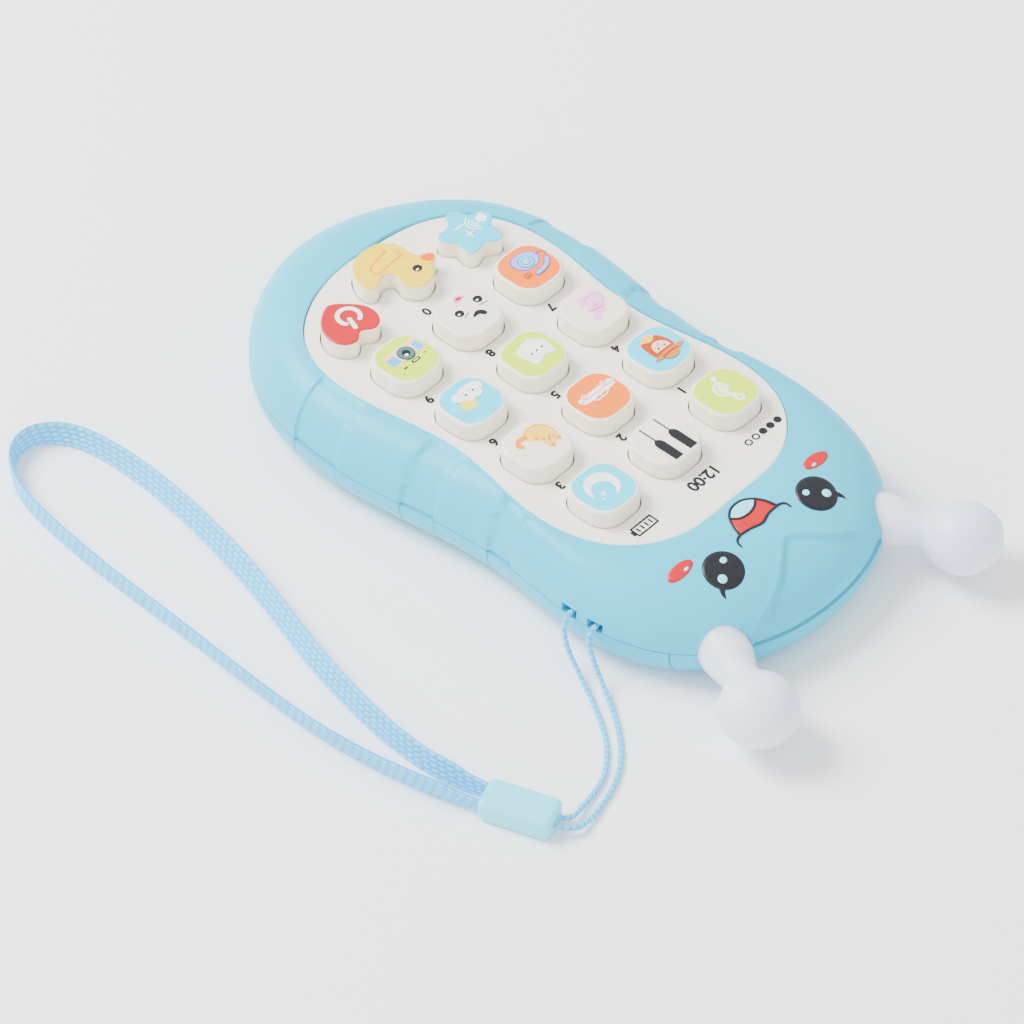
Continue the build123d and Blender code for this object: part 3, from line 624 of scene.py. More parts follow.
def upper_casing():
    """The upper shell: domed skin with its bands and brow, rim, ledge and an even wall."""
    stations = casing_stations()
    outer, rim = whole(CASING), inset(whole(PLATE), -0.2)
    high = RIM_Z - PART_Z
    turns = [0, 0.7, 1.7, 3.4] + [3.4 + 86.6 * k / 62 for k in range(1, 63)]  # parting line to rim
    rings = []
    for turn in turns:
        lean, rise = cos(radians(turn)), sin(radians(turn))
        flat = closed_curve(blend(outer, rim, lean), stations)
        rings.append([(x, y, PART_Z + high * rise) for x, y in flat])
    grid = np.array(rings)
    along = np.roll(grid, -1, axis=1) - np.roll(grid, 1, axis=1)
    upwards = np.gradient(grid, axis=0)
    normal = np.cross(along, upwards)
    normal /= np.maximum(np.linalg.norm(normal, axis=2), 1e-9)[:, :, None]
    for r, turn in enumerate(turns):
        rise = turn / 90
        lip = LIP * (1 - smooth_step((grid[r, 0, 2] - PART_Z) / 0.35))
        for c in range(len(stations)):
            x, y, _ = grid[r, c]
            grid[r, c] -= normal[r, c] * (relief(x, y, rise) + lip)
    rings = list(grid)
    ledge = inset(whole(PLATE), 1.3)
    for points, z in ((inset(rim, 0.08), RIM_Z - 0.12), (inset(rim, 0.12), RIM_Z - 0.45),
                      (rim, LEDGE_Z[0]), (ledge, LEDGE_Z[0]), (ledge, LEDGE_Z[1]),
                      (inset(whole(PLATE), -1.5), LEDGE_Z[1])):
        flat = closed_curve(points, stations)
        rings.append(np.column_stack([flat, np.full(len(flat), z)]))
    for turn in (62, 45, 30, 15, 0):
        lean, rise = cos(radians(turn)), sin(radians(turn))
        flat = closed_curve(inset(blend(outer, rim, lean), WALL), stations)
        rings.append(np.column_stack([flat, np.full(len(flat), PART_Z + (high - WALL) * rise)]))
    v, f = rings_to_mesh([[p * MM for p in ring] for ring in rings], closed_rows=True)
    obj = new_object("upper_casing", v, f, [shell_material("shell_upper")])
    outward(obj)
    return obj


def box_mesh(bm, low, high):
    """Add a box between two corners, in millimetres."""
    made = bmesh.ops.create_cube(bm, size=1.0)["verts"]
    for v in made:
        for k in range(3):
            v.co[k] = (low[k] + (v.co[k] + 0.5) * (high[k] - low[k])) * MM


def cut_openings(obj):
    """Cut the two strap slots and the antennae's holes through the wall."""
    bm = bmesh.new()
    for low_y, high_y in SLOTS:
        box_mesh(bm, (33.5, low_y, PART_Z - 1), (41.5, high_y, PART_Z + 2.3))
    for side in (-1, 1):
        out = Vector((side * sin(SPLAY), cos(SPLAY), 0))
        middle = Vector((side * BALL[0], BALL[1], PART_Z)) - out * 16
        turn = out.to_track_quat("Z", "Y").to_matrix().to_4x4()
        bmesh.ops.create_cone(bm, cap_ends=True, segments=72, radius1=STEM_HOLE_R * MM,
                              radius2=STEM_HOLE_R * MM, depth=18 * MM,
                              matrix=Matrix.Translation(middle * MM) @ turn)
    mesh = bpy.data.meshes.new("openings")
    bm.to_mesh(mesh)
    bm.free()
    cutter = in_scene("openings", mesh)
    cut = obj.modifiers.new("cut", "BOOLEAN")
    cut.operation = "DIFFERENCE"
    cut.solver = "EXACT"
    cut.object = cutter
    bpy.context.view_layer.update()
    depsgraph = bpy.context.evaluated_depsgraph_get()
    done = bpy.data.meshes.new_from_object(obj.evaluated_get(depsgraph))
    obj.modifiers.clear()
    obj.data = done
    bpy.data.objects.remove(cutter)
    smooth_by_angle(obj, 40)


def smooth_by_angle(obj, angle):
    """Smooth shading, with edges sharper than the angle left crisp."""
    with editing(obj) as bm:
        for face in bm.faces:
            face.smooth = True
        for edge in bm.edges:
            edge.smooth = len(edge.link_faces) == 2 and edge.calc_face_angle(0.0) < radians(angle)


shell = upper_casing()
dome = BVHTree.FromPolygons([v.co for v in shell.data.vertices],
                            [tuple(p.vertices) for p in shell.data.polygons])
cut_openings(shell)
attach(shell, "casing")
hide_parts("upper_shell")


# ---- antennae ----
def antenna(side, name):
    """A soft antenna: a flattened ball on a neck that swells towards the head."""
    out = np.array((side * sin(SPLAY), cos(SPLAY), 0))
    level = np.array((cos(SPLAY), -side * sin(SPLAY), 0))
    middle = np.array((side * BALL[0], BALL[1], PART_Z))
    profile = [(0.0, -25.4), (5.0, -25.4), (5.48, -25.0), (5.5, -22.0), (5.5, -16.5), (5.35, -14.8),
               (5.0, -13.4), (4.6, -12.0), (4.25, -10.6), (4.0, -9.4), (4.02, -8.4), (4.2, -7.6)]
    start = asin(7.3 / BALL_R)  # where the ball leaves the neck
    for k in range(1, 29):
        angle = -start + (pi / 2 + start) * k / 28
        profile.append((BALL_R * cos(angle), BALL_R * sin(angle)))
    rings = []
    for radius, along in profile[1:-1]:
        flat = 1 + (BALL_FLAT_R / BALL_R - 1) * smooth_step((along + 9.5) / 4.0)
        rings.append([(middle + out * along + (level * cos(t) + np.array((0, 0, flat)) * sin(t)) * radius)
                      * MM for t in [2 * pi * m / 72 for m in range(72)]])
    v, f = rings_to_mesh(rings, caps=True)
    obj = new_object(name + "_skin", v, f, [MILKY])
    outward(obj)
    smooth_by_angle(obj, 50)
    finer = obj.modifiers.new("finer", "SUBSURF")
    finer.levels = finer.render_levels = 1
    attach(obj, "casing")
    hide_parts(name)


MILKY = milky_material("milky_silicone", srgb(214, 220, 238), srgb(230, 232, 246))
antenna(-1, "antenna_left")
antenna(1, "antenna_right")


# ---- prints ----
INK_THICK, INK_LIFT, LAYER_LIFT, SHAPE_LIFT = 0.03, 0.035, 0.04, 0.00137
DIGIT_SHARE = 0.72  # height of a digit as a share of its font's size


class Print:
    """Thin ink shapes laid on a surface, all in one piece; each layer lies over the last."""

    def __init__(self, name, body, slot, centre=(0, 0), z=None):
        self.name, self.body, self.slot, self.centre, self.z = name, body, slot, centre, z
        self.vertices, self.faces, self.inks, self.used, self.shapes = [], [], [], [], 0

    def place(self, x, y, layer, climb=0.0):
        """The point on the surface under a plan position, lifted by its layer."""
        x, y = self.centre[0] + x, self.centre[1] + y
        lift = INK_LIFT + LAYER_LIFT * layer + SHAPE_LIFT * (self.shapes + climb)
        if self.z is not None:
            return Vector((x, y, self.z + lift)) * MM
        hit, normal, _, _ = dome.ray_cast(Vector((x, y, 60)) * MM, Vector((0, 0, -1)))
        if normal.z < 0:
            normal = -normal
        return hit + normal * lift * MM

    def add(self, points, faces, colour, layer, climbs=None):
        """One shape; each lies a hair higher than the last, so that no two share a height."""
        if colour not in self.used:
            self.used.append(colour)
        first = len(self.vertices)
        self.shapes += 1
        climbs = climbs or [0.0] * len(points)
        self.vertices += [self.place(x, y, layer, c) for (x, y), c in zip(points, climbs)]
        for face in faces:
            self.faces.append(tuple(first + i for i in face))
            self.inks.append(self.used.index(colour))

    def blob(self, outline, colour, layer=0, smooth=True, rings=1):
        """A filled shape round its own middle."""
        edge = closed_curve(outline, even(max(3, 60 // len(outline)), outline)) if smooth \
            else np.array(outline, float)
        count = len(edge)
        middle = edge.mean(axis=0)
        points = [tuple(middle)]
        for r in range(1, rings + 1):
            points += [tuple(middle + (p - middle) * r / rings) for p in edge]
        faces = [(0, 1 + i, 1 + (i + 1) % count) for i in range(count)]
        for r in range(rings - 1):
            a, b = 1 + r * count, 1 + (r + 1) * count
            for i in range(count):
                j = (i + 1) % count
                faces.append((a + i, b + i, b + j, a + j))
        self.add(points, faces, colour, layer)

    def oval(self, x, y, wide, high, colour, layer=0, rings=1):
        outline = [(x + wide / 2 * cos(radians(a)), y + high / 2 * sin(radians(a)))
                   for a in range(0, 360, 10)]
        self.blob(outline, colour, layer, smooth=False, rings=rings)

    def line(self, points, width, colour, layer=0, closed=False, taper=0.0):
        """A brush line through the points; taper thins its far end."""
        p = np.array(points, float)
        if closed:
            p = closed_curve(points, even(8, points))
            p = np.vstack([p, p[:1]])
        elif len(p) > 2:
            ghost = np.vstack([2 * p[0] - p[1], p, 2 * p[-1] - p[-2]])
            fine = []
            for k in range(1, len(ghost) - 2):
                a, b, c, d = ghost[k - 1:k + 3]
                for t in np.linspace(0, 1, 9)[:-1]:
                    fine.append(0.5 * (2 * b + (c - a) * t + (2 * a - 5 * b + 4 * c - d) * t**2
                                       + (3 * b - a - 3 * c + d) * t**3))
            p = np.array(fine + [ghost[-2]])
        else:
            p = np.linspace(p[0], p[1], 6)
        way = np.gradient(p, axis=0)
        if closed:
            way[0] = way[-1] = p[1] - p[-2]
        way /= np.maximum(np.linalg.norm(way, axis=1), 1e-9)[:, None]
        across = np.column_stack([-way[:, 1], way[:, 0]])
        count = len(p)
        half = [width / 2 * (1 - taper * k / (count - 1)) for k in range(count)]
        vertices = [tuple(p[k] + across[k] * half[k]) for k in range(count)]
        vertices += [tuple(p[k] - across[k] * half[k]) for k in range(count)]
        faces = [(k, k + 1, count + k + 1, count + k) for k in range(count - 1)]
        self.add(vertices, faces, colour, layer, [k / count for k in range(count)] * 2)
        if not closed:
            self.oval(*p[0], width, width, colour, layer)
            if taper < 0.5:
                self.oval(*p[-1], width * (1 - taper), width * (1 - taper), colour, layer)

    def text(self, words, x, y, height, bold=0.045):
        """Dark numbers in a plain face, centred on a point."""
        curve = bpy.data.curves.new("numbers", "FONT")
        curve.body, curve.align_x, curve.align_y = words, "CENTER", "CENTER"
        curve.size, curve.offset, curve.fill_mode = height / DIGIT_SHARE, bold * height, "FRONT"
        obj = in_scene("numbers", curve)
        mesh = bpy.data.meshes.new_from_object(obj)
        points = [(x + v.co.x, y + v.co.y) for v in mesh.vertices]
        self.add(points, [tuple(p.vertices) for p in mesh.polygons], "dark", 0)
        bpy.data.objects.remove(obj)
        bpy.data.meshes.remove(mesh)

    def finish(self):
        """Make the piece: every shape faces up and has an ink's thickness."""
        obj = new_object(self.name, self.vertices, self.faces, [INK[c] for c in self.used],
                         smooth=self.z is None, indices=self.inks)
        with editing(obj) as bm:
            for face in bm.faces:
                if face.normal.z < 0:
                    face.normal_flip()
        thick = obj.modifiers.new("thick", "SOLIDIFY")
        thick.thickness = INK_THICK * MM
        thick.offset = -1
        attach(obj, self.body)
        return obj


def rounded(wide, high, corner, x=0.0, y=0.0):
    """The outline of a rounded rectangle."""
    outline = []
    for cx, cy, first in ((1, 1, 0), (-1, 1, 90), (-1, -1, 180), (1, -1, 270)):
        for k in range(7):
            a = radians(first + 15 * k)
            outline.append((x + cx * (wide / 2 - corner) + corner * cos(a),
                            y + cy * (high / 2 - corner) + corner * sin(a)))
    return outline


FACE_X, EYE_X, EYE_Y = 1.4, 14.3, 50.8  # middle of the face, and its eyes to each side


def print_face():
    p = Print("head_face_print", "casing", "shell", (FACE_X, 0))
    for side in (-1, 1):
        x = side * EYE_X
        p.oval(x, EYE_Y, 8.8, 8.6, "dark", rings=6)
        p.blob([(x + side * a, EYE_Y + b) for a, b in
                ((2.4, 2.6), (3.6, 3.7), (4.2, 4.6), (4.35, 3.6), (4.1, 2.7), (3.4, 1.4))],
               "dark", smooth=False, rings=2)
        p.oval(x + side * 1.7, EYE_Y + 1.25, 2.0, 1.9, "glint", 1, rings=2)
        p.oval(x - side * 1.6, EYE_Y - 1.45, 1.6, 1.4, "glint", 1, rings=2)
        p.oval(side * 20.8, 45.0, 6.9, 3.1, "red", rings=4)
        p.oval(side * 19.6, 45.6, 1.2, 0.7, "glint", 1, rings=2)
    lips = [(5.7, 47.6), (5.0, 45.3), (3.7, 43.1), (1.9, 41.8), (0.0, 41.5), (-1.9, 41.9),
            (-3.7, 43.3), (-5.0, 45.4), (-5.7, 47.7), (-3.0, 47.8), (-0.2, 48.6), (2.9, 47.9)]
    tongue = [(3.8, 43.4), (1.9, 41.9), (0.0, 41.6), (-1.9, 42.0), (-3.7, 43.5), (-2.2, 44.6),
              (0.0, 45.1), (2.3, 44.7)]
    p.blob(lips, "red", rings=6, smooth=False)
    p.blob(tongue, "glint", 1, rings=4)
    p.line([(3.9, 43.3), (2.3, 44.7), (0.0, 45.1), (-2.2, 44.6), (-3.8, 43.4)], 0.5, "dark", 2)
    p.line(lips[:9], 0.55, "dark", 2)
    p.line(lips[8:] + lips[:1], 0.5, "dark", 2)
    for side in (-1, 1):
        p.line([(side * 5.6, 47.6), (side * 6.7, 47.9), (side * 7.4, 48.5), (side * 7.6, 49.6)],
               0.6, "dark", 2, taper=0.3)
    p.finish()


def print_plate():
    p = Print("plate_print", "casing", "plate", z=PLATE_Z)
    for row, names in enumerate(("123", "456", "789", " 0 ")):
        for column, digit in enumerate(names):
            if digit != " ":
                p.text(digit, KEY_X[column] + 2.6, KEY_Y[row] - 9.6, 2.2, bold=0.06)
    p.text("12:00", -0.1, 31.6, 2.75)
    for k in range(5):
        x = -22.9 + 2.25 * k
        if k < 3:
            p.oval(x, 31.8, 1.8, 1.8, "dark")
        else:
            p.line([(x + 0.72 * cos(a), 31.8 + 0.72 * sin(a))
                    for a in [2 * pi * m / 12 for m in range(12)]], 0.36, "dark", closed=True)
    x, y, wide, high = 18.0, 31.75, 5.6, 2.4
    corners = [(x - wide / 2, y - high / 2), (x + wide / 2, y - high / 2),
               (x + wide / 2, y + high / 2), (x - wide / 2, y + high / 2)]
    for a, b in zip(corners, corners[1:] + corners[:1]):
        p.line([a, b], 0.42, "dark")
    p.blob(rounded(0.7, 1.4, 0.2, x + wide / 2 + 0.45, y), "dark", smooth=False)
    for k in range(4):
        p.line([(x - 1.8 + 1.2 * k, y - 0.45), (x - 1.8 + 1.2 * k, y + 0.45)], 0.42, "dark")
    p.finish()


FILM = rounded(11.7, 11.7, 4.2)  # the coloured film on a square key


def key_print(name, film):
    """An ink piece on a key's top, over its coloured film if it has one."""
    if name in SHAPED:
        centre = SHAPED[name]
    else:
        order = ["1", "2", "3", "4", "5", "6", "7", "8", "9", "telephone", "0", "camera"]
        place = order.index(name)
        centre = (KEY_X[place % 3], KEY_Y[place // 3])
    p = Print("key_" + name + "_print", "button_" + name, "key_" + (film or "cream"), centre, KEY_Z)
    if film:
        p.blob(FILM, film, 0, smooth=False)
    return p


def treble_clef(p):
    p.line([(-0.3, -1.9), (0.6, -1.2), (0.2, -0.2), (-0.9, -0.3), (-1.3, -1.4), (-0.6, -2.5),
            (0.9, -2.4), (1.8, -1.0), (1.3, 0.5), (0.1, 1.4), (-1.0, 2.4), (-1.5, 3.5),
            (-0.9, 4.2), (-0.1, 3.5), (-0.1, 1.6), (-0.2, -0.8), (-0.5, -2.9), (-0.9, -4.0)],
           0.66, "white", 1)
    p.oval(-0.9, -4.1, 1.4, 1.4, "white", 1)


def piano_keys(p):
    for x in (-2.5, 1.8):
        p.blob([(x - 1.1, 5.6), (x + 1.1, 5.6), (x + 1.15, 0.4), (x + 0.9, -0.5), (x + 0.3, -1.1),
                (x - 0.3, -1.1), (x - 0.9, -0.5), (x - 1.15, 0.4)], "dark", smooth=False)
        p.line([(x, -1.0), (x, -5.4)], 0.34, "dark")


def moon(p):
    outer = [(3.8 * cos(radians(a)), -0.5 + 3.8 * sin(radians(a))) for a in range(95, 381, 15)]
    inner = [(0.7 + 2.6 * cos(radians(a)), 0.6 + 2.6 * sin(radians(a))) for a in range(110, 356, 13)]
    steps = len(outer)
    inner = [inner[round(k * (len(inner) - 1) / (steps - 1))] for k in range(steps)]
    inner[0], inner[-1] = outer[0], outer[-1]
    faces = [(0, 1, steps + 1)]
    faces += [(k, k + 1, steps + k + 1, steps + k) for k in range(1, steps - 2)]
    faces.append((steps - 2, steps - 1, 2 * steps - 2))
    p.add(outer + inner, faces, "white", 1)
    for x, y, r in ((1.4, 1.1, 0.8), (2.5, 2.3, 0.45)):
        star = [(x + r * (1 if k % 2 == 0 else 0.42) * cos(radians(18 + 36 * k)),
                 y + r * (1 if k % 2 == 0 else 0.42) * sin(radians(18 + 36 * k)))
                for k in range(10)]
        p.blob(star, "white", 1, smooth=False)


def girl(p):
    p.blob([(1.9, -3.4), (0.2, -4.6), (-1.8, -4.2), (-2.6, -2.6), (-0.8, -2.2)], "peach", 1)
    p.blob([(1.6, -3.5), (2.4, -1.0), (2.1, 1.5), (0.8, 2.7), (-1.8, 2.7), (-3.4, 1.0), (-3.4, -1.4),
            (-2.2, -3.4), (-0.6, -2.6)], "brown", 2)
    p.blob([(0.0, -1.9), (-1.8, -1.6), (-2.8, -0.2), (-2.6, 1.2), (-0.9, 1.9), (1.0, 1.2),
            (1.1, -0.6)], "skin", 3)
    p.blob([(-2.9, 1.0), (-0.9, 0.7), (1.3, 1.0), (0.6, 1.9), (-1.9, 1.9)], "brown", 4)
    p.oval(-0.9, 2.1, 8.4, 1.5, "tan", 5)
    p.blob([(-3.0, 2.2), (-2.5, 3.4), (-1.7, 3.9), (0.0, 3.9), (0.8, 3.4), (1.2, 2.2)], "tan", 6)
    p.line([(-3.0, 2.4), (-0.9, 2.2), (1.1, 2.4)], 0.42, "red", 7)
    for side in (-1, 1):
        p.oval(-0.8 + side * 0.9, 0.0, 0.42, 0.5, "dark", 4)
        p.oval(-0.8 + side * 1.3, -0.7, 0.6, 0.4, "rose", 4)
    p.line([(-1.1, -0.9), (-0.8, -1.1), (-0.5, -0.9)], 0.2, "red", 4)


def car(p):
    p.blob([(4.3, -2.0), (4.3, -0.9), (3.6, -0.1), (1.6, 0.2), (0.9, 1.0), (-1.9, 0.9), (-3.0, 0.2),
            (-5.2, -0.1), (-5.6, -1.2), (-5.1, -2.0)], "white", 1, smooth=False)
    for x in (-3.2, 2.4):
        for layer, wide, high, colour in ((2, 1.7, 1.5, "orange"), (3, 1.25, 1.15, "white"),
                                          (4, 0.5, 0.5, "orange")):
            p.oval(x, -1.9, wide, high, colour, layer)
    p.blob([(-2.6, 0.1), (-1.8, 0.6), (-0.7, 0.6), (-0.7, 0.0)], "orange", 2, smooth=False)
    p.blob([(-0.4, 0.0), (-0.4, 0.6), (0.7, 0.6), (1.2, 0.1)], "orange", 2, smooth=False)
    p.line([(-5.3, -0.9), (4.0, -0.9)], 0.12, "orange", 2)


def curled_cat(p):
    p.blob([(0.9, -2.6), (0.2, -3.6), (-1.5, -4.4), (-3.6, -4.1), (-5.0, -2.3), (-5.3, -0.4),
            (-5.0, 1.1), (-3.4, 2.6), (-2.0, 2.7), (-1.2, 1.4), (-0.9, 0.0), (0.3, -1.2)], "peach")
    p.line([(0.6, -2.9), (2.2, -3.1), (3.1, -2.2), (2.9, -1.4)], 1.1, "amber", 1)
    p.line([(-5.1, 0.9), (-5.2, -1.4), (-4.1, -3.5), (-1.6, -4.2), (0.3, -3.4)], 0.2, "amber", 1)
    p.oval(-0.9, -1.0, 1.0, 0.6, "amber", 1)
    p.oval(-1.9, 0.1, 0.8, 0.5, "amber", 1)
    for x, y in ((-4.4, 1.6), (-2.0, 2.2)):
        p.blob([(x - 0.6, y), (x, y + 1.2), (x + 0.7, y + 0.1)], "amber", 1, smooth=False)
    for x in (-3.9, -2.6):
        p.oval(x, 1.0, 0.34, 0.4, "brown", 1)
    p.oval(-3.2, 0.4, 0.45, 0.3, "brown", 1)


def bear(p):
    for side in (-1, 1):
        p.oval(-1.2 + side * 1.7, -3.5, 1.7, 1.6, "pink")
    p.oval(-1.6, -1.9, 5.8, 4.2, "pink")
    p.oval(-0.4, 0.7, 3.4, 3.4, "pink")
    p.oval(1.2, 2.4, 2.4, 1.7, "pink")
    p.line([(-2.0, 1.0), (-0.2, 0.7), (1.3, 0.1)], 0.6, "rose", 1)
    p.blob([(-1.6, -0.2), (-0.9, -0.7), (-0.3, -0.2), (-0.9, 0.1)], "rose", 1)
    p.line([(-4.3, -2.4), (-3.6, -0.5), (-2.5, 0.6)], 0.16, "rose", 1)
    p.line([(-3.4, -2.6), (-1.8, -3.1), (0.4, -2.6)], 0.16, "rose", 1)


def cat(p):
    cat_shape = [(2.3, -2.5), (0.4, -3.3), (-1.6, -3.6), (-3.6, -2.6), (-4.6, -0.7), (-4.3, 1.3),
                 (-3.9, 2.9), (-2.6, 2.4), (-0.2, 2.5), (1.4, 3.0), (2.3, 1.3), (2.5, -0.6)]
    p.blob([(x - 0.1, y - 0.12) for x, y in cat_shape], "grey", 1)
    p.blob(cat_shape, "white", 2)
    for x in (-2.7, -1.2, 0.3):
        p.oval(x, 0.0, 0.5, 0.5, "dark", 3)


def cloud_and_sun(p):
    p.oval(1.2, 0.3, 3.2, 3.0, "yellow", 1)
    for k in range(12):
        a = radians(30 * k)
        p.line([(1.2 + 1.7 * cos(a), 0.3 + 1.6 * sin(a)), (1.2 + 2.2 * cos(a), 0.3 + 2.1 * sin(a))],
               0.26, "yellow", 1)
    for x, y, size in ((-3.7, -2.3, 2.7), (-2.3, -0.8, 2.6), (-0.8, -2.4, 3.4), (-0.3, -0.9, 2.4),
                       (1.5, -2.3, 2.7), (-2.3, -2.7, 2.6)):
        p.oval(x, y, size, size * 0.95, "white", 2)
    for x in (-2.3, -0.3):
        p.oval(x, -1.8, 0.5, 0.55, "dark", 3)
        p.oval(x + 0.2, -2.6, 0.6, 0.36, "rose", 3)
    p.oval(-1.3, -2.2, 0.3, 0.24, "dark", 3)


def telephone(p):
    body = [(1.5, -4.0), (-0.9, -4.3), (-3.0, -3.7), (-4.2, -1.6), (-2.8, 0.4), (-0.8, 0.9),
            (1.4, 0.4), (2.4, -1.2), (2.4, -3.0)]
    middle_x, middle_y = -0.8, -1.5
    p.blob(body, "navy", 1)
    p.blob([(middle_x + (x - middle_x) * 0.92, middle_y + (y - middle_y) * 0.92) for x, y in body],
           "violet", 2)
    for layer, size, colour in ((3, 3.7, "navy"), (4, 3.3, "sky"), (5, 2.0, "navy"), (6, 1.6, "grey")):
        p.oval(-0.6, -1.4, size, size, colour, layer)
    p.line([(-3.8, -1.6), (-5.2, -1.6), (-5.6, -0.6), (-4.9, 0.4)], 0.22, "navy", 3)
    handset = [(-4.5, 0.9), (-3.4, 2.0), (-1.6, 2.6), (0.0, 2.7)]
    p.line(handset, 1.35, "navy", 3)
    p.line(handset, 0.95, "violet", 4)
    for k in range(3):
        p.line([(2.4 - 0.6 * k, 0.9 + 0.2 * k), (2.9 - 0.7 * k, 1.7), (2.6 - 0.6 * k, 2.5 - 0.1 * k)],
               0.26, "brown", 3)


def panda(p):
    for x, y in ((-4.2, -1.3), (1.6, -1.0)):
        p.oval(x, y, 2.1, 2.0, "dark")
        p.oval(x + 0.3, y + 0.2, 0.7, 0.5, "white", 1)
    p.blob([(-0.9, 1.0), (-2.3, 1.4), (-2.7, 2.9), (-2.0, 3.1), (-1.2, 2.1), (0.4, 1.9)], "dark")
    p.line([(-5.2, 0.6), (-3.2, 0.2)], 0.2, "dark")
    p.line([(0.1, 0.2), (1.7, 0.7)], 0.2, "dark")
    p.blob([(-2.9, -4.0), (-1.7, -5.0), (-0.4, -4.6), (-0.1, -3.8), (-1.5, -3.6)], "rose")
    p.blob([(-2.1, -4.1), (-1.5, -4.6), (-0.8, -4.3), (-1.4, -3.9)], "red", 1)


def camera_icon(p):
    p.blob(rounded(9.0, 4.0, 0.4, -0.9, -1.5), "skin", 1, smooth=False)
    p.blob(rounded(8.8, 2.4, 0.2, -0.7, -1.1), "blue", 2, smooth=False)
    p.blob(rounded(4.8, 3.9, 0.3, -1.0, -1.5), "skin", 3, smooth=False)
    for layer, size, colour in ((4, 3.9, "dark"), (5, 3.5, "green"), (6, 1.8, "dark")):
        p.oval(-0.9, -1.0, size, size, colour, layer)
    p.oval(-0.5, -0.5, 0.9, 0.7, "white", 7)
    p.blob(rounded(2.2, 0.9, 0.3, -1.0, 1.7), "dark", 1, smooth=False)
    p.blob(rounded(1.4, 0.34, 0.1, -1.0, 1.7), "skin", 2, smooth=False)
    p.blob(rounded(0.9, 0.4, 0.1, 2.2, 1.9), "dark", 1, smooth=False)
    p.oval(-3.9, 1.5, 0.6, 0.4, "red", 1)


def loudspeaker(p):
    p.blob([(-3.2, -1.7), (-4.1, -1.8), (-5.3, -2.3), (-5.7, -0.4), (-4.4, 0.6), (-3.2, -0.2)],
           "white", smooth=False)
    for k in range(1, 4):
        r = 0.75 * k
        p.line([(-2.7 + r * cos(radians(a)), -0.9 + r * sin(radians(a)))
                for a in (-70, -40, -10, 20, 50, 80)], 0.34, "white")
    p.line([(2.2, -2.3), (-0.2, -2.2)], 0.42, "white")
    p.line([(-0.2, 0.8), (1.8, 0.7)], 0.42, "white")
    p.line([(0.8, -0.2), (0.9, 1.8)], 0.42, "white")


def duck(p):
    p.line([(-2.2, 0.8), (-1.7, 0.6), (1.2, 0.7), (3.8, 1.0), (5.4, 0.7), (5.4, -0.6), (4.2, -1.7),
            (1.6, -2.2), (-1.2, -2.9)], 0.34, "amber")
    p.line([(-2.2, 0.8), (-2.7, 0.2), (-2.4, -1.5)], 0.34, "amber")
    p.oval(-1.8, 5.8, 2.1, 2.0, "dark")
    p.oval(-1.5, 6.1, 0.8, 0.5, "white", 1)
    p.blob([(-4.5, 4.1), (-5.4, 3.9), (-6.5, 4.2), (-7.2, 5.1), (-6.7, 6.0), (-5.4, 6.3), (-4.7, 5.4)],
           "beak")


def power_symbol(p):
    p.line([(-1.3 + 2.4 * cos(radians(a)), -1.3 + 2.4 * sin(radians(a)))
            for a in range(118, 391, 16)], 1.0, "white")
    p.line([(-0.8, -0.6), (0.1, 2.0)], 1.0, "white")


print_face()
print_plate()
for name, film, draw in (
        ("1", "lime", treble_clef), ("2", None, piano_keys), ("3", "sky", moon), ("4", "sky", girl),
        ("5", "orange", car), ("6", None, curled_cat), ("7", None, bear), ("8", "lime", cat),
        ("9", "sky", cloud_and_sun), ("telephone", "orange", telephone), ("0", None, panda),
        ("camera", "lime", camera_icon), ("star", None, loudspeaker), ("duck", None, duck),
        ("heart", None, power_symbol)):
    picture = key_print(name, film)
    draw(picture)
    picture.finish()


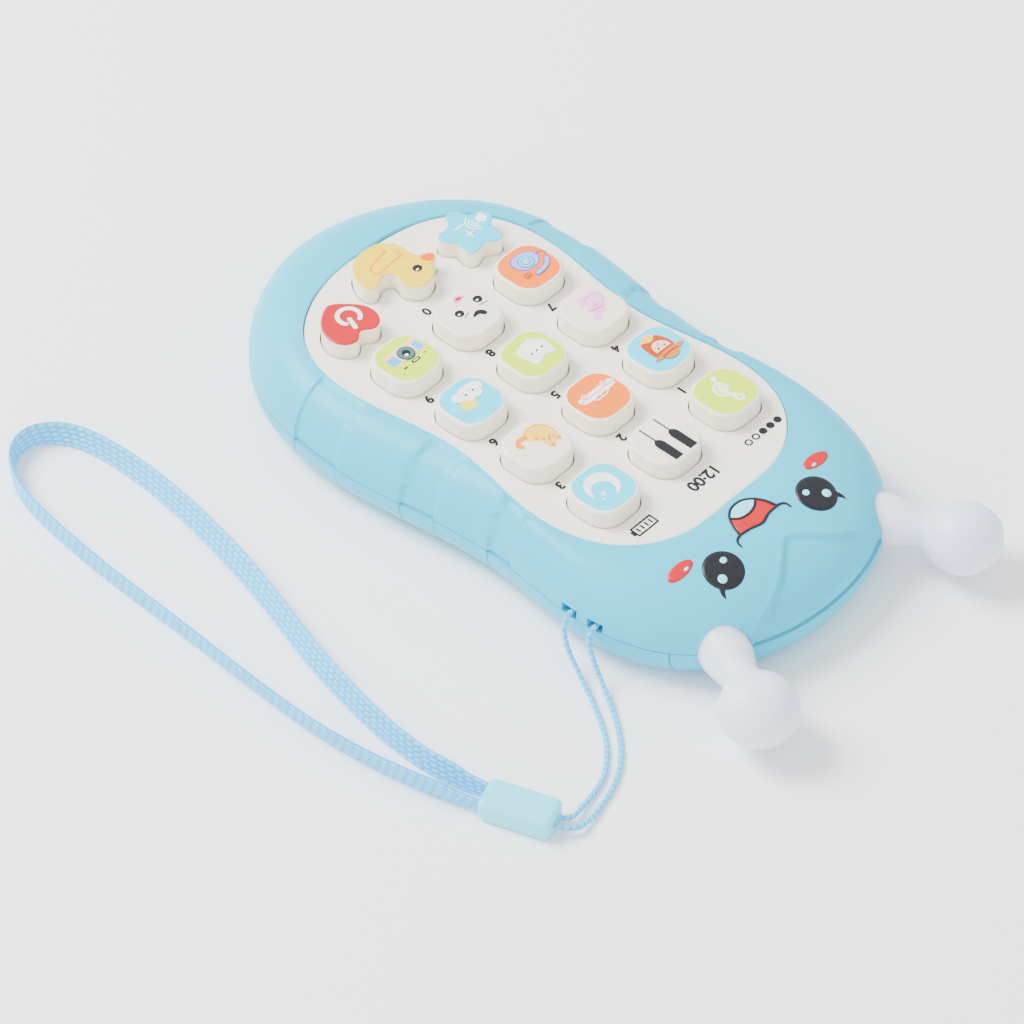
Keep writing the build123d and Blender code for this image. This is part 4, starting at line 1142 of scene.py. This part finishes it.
# ---- materials of the CAD parts ----
def dress(material, *nodes):
    """Give CAD nodes a material."""
    for node in nodes:
        mesh = bpy.data.objects[node].data
        mesh.materials.clear()
        mesh.materials.append(material)


dress(shell_material("shell_lower", bands_and_painted_joint_shade=True), "back_shell", "head_cover")
dress(moulded("door_plastic", SHELL, 0.42), "battery_door")
dress(moulded("plate_plastic", srgb(241, 239, 234), 0.32, soft=0.12, shade=0.985), "face_plate")
dress(moulded("key_plastic", CREAM, 0.3, soft=0.12, coat=0.1, shade=0.98),
      *["key_" + k for k in "0123456789"], "key_telephone", "key_camera")
CAP_EDGE_Z = 24.72  # where a coloured cap ends on a shaped key
dress(two_tone("star_plastic", INKS["sky"], CAP_EDGE_Z), "key_star")
dress(two_tone("duck_plastic", srgb(236, 212, 30), CAP_EDGE_Z), "key_duck")
dress(two_tone("heart_plastic", srgb(158, 30, 62), CAP_EDGE_Z), "key_heart")
dress(moulded("slider_plastic", srgb(170, 224, 252), 0.3, soft=0.35, coat=0.15), "strap_slider")
dress(moulded("silicone_rubber", srgb(214, 214, 208), 0.6, soft=0.3, coat=0.0), "rubber_keypad")
dress(moulded("board_laminate", srgb(44, 108, 66), 0.4, soft=0.0, shade=0.8), "circuit_board")
dress(moulded("black_resin", srgb(32, 32, 34), 0.45, soft=0.0), "sound_chip", "board_components")
dress(moulded("paper_cone", srgb(42, 42, 46), 0.85, soft=0.0, coat=0.0, grain=3.0), "speaker_cone")
dress(metal("pressed_steel", srgb(196, 196, 200), 0.38), "speaker_frame", "battery_plates",
      "battery_springs")
dress(metal("magnet_steel", srgb(150, 150, 156), 0.3), "speaker_magnet")
dress(metal("screw_steel", srgb(186, 188, 192), 0.32, 1500.0), "battery_door_screw", "case_screws",
      "head_cover_screws", "board_screws")
dress(moulded("lamp_lens", srgb(236, 230, 214), 0.15, soft=0.4, coat=0.25), "led_left", "led_right")
dress(moulded("cell_jacket", srgb(70, 120, 84), 0.35, soft=0.0, coat=0.2), "battery_1", "battery_2",
      "battery_3")

bpy.context.view_layer.update()
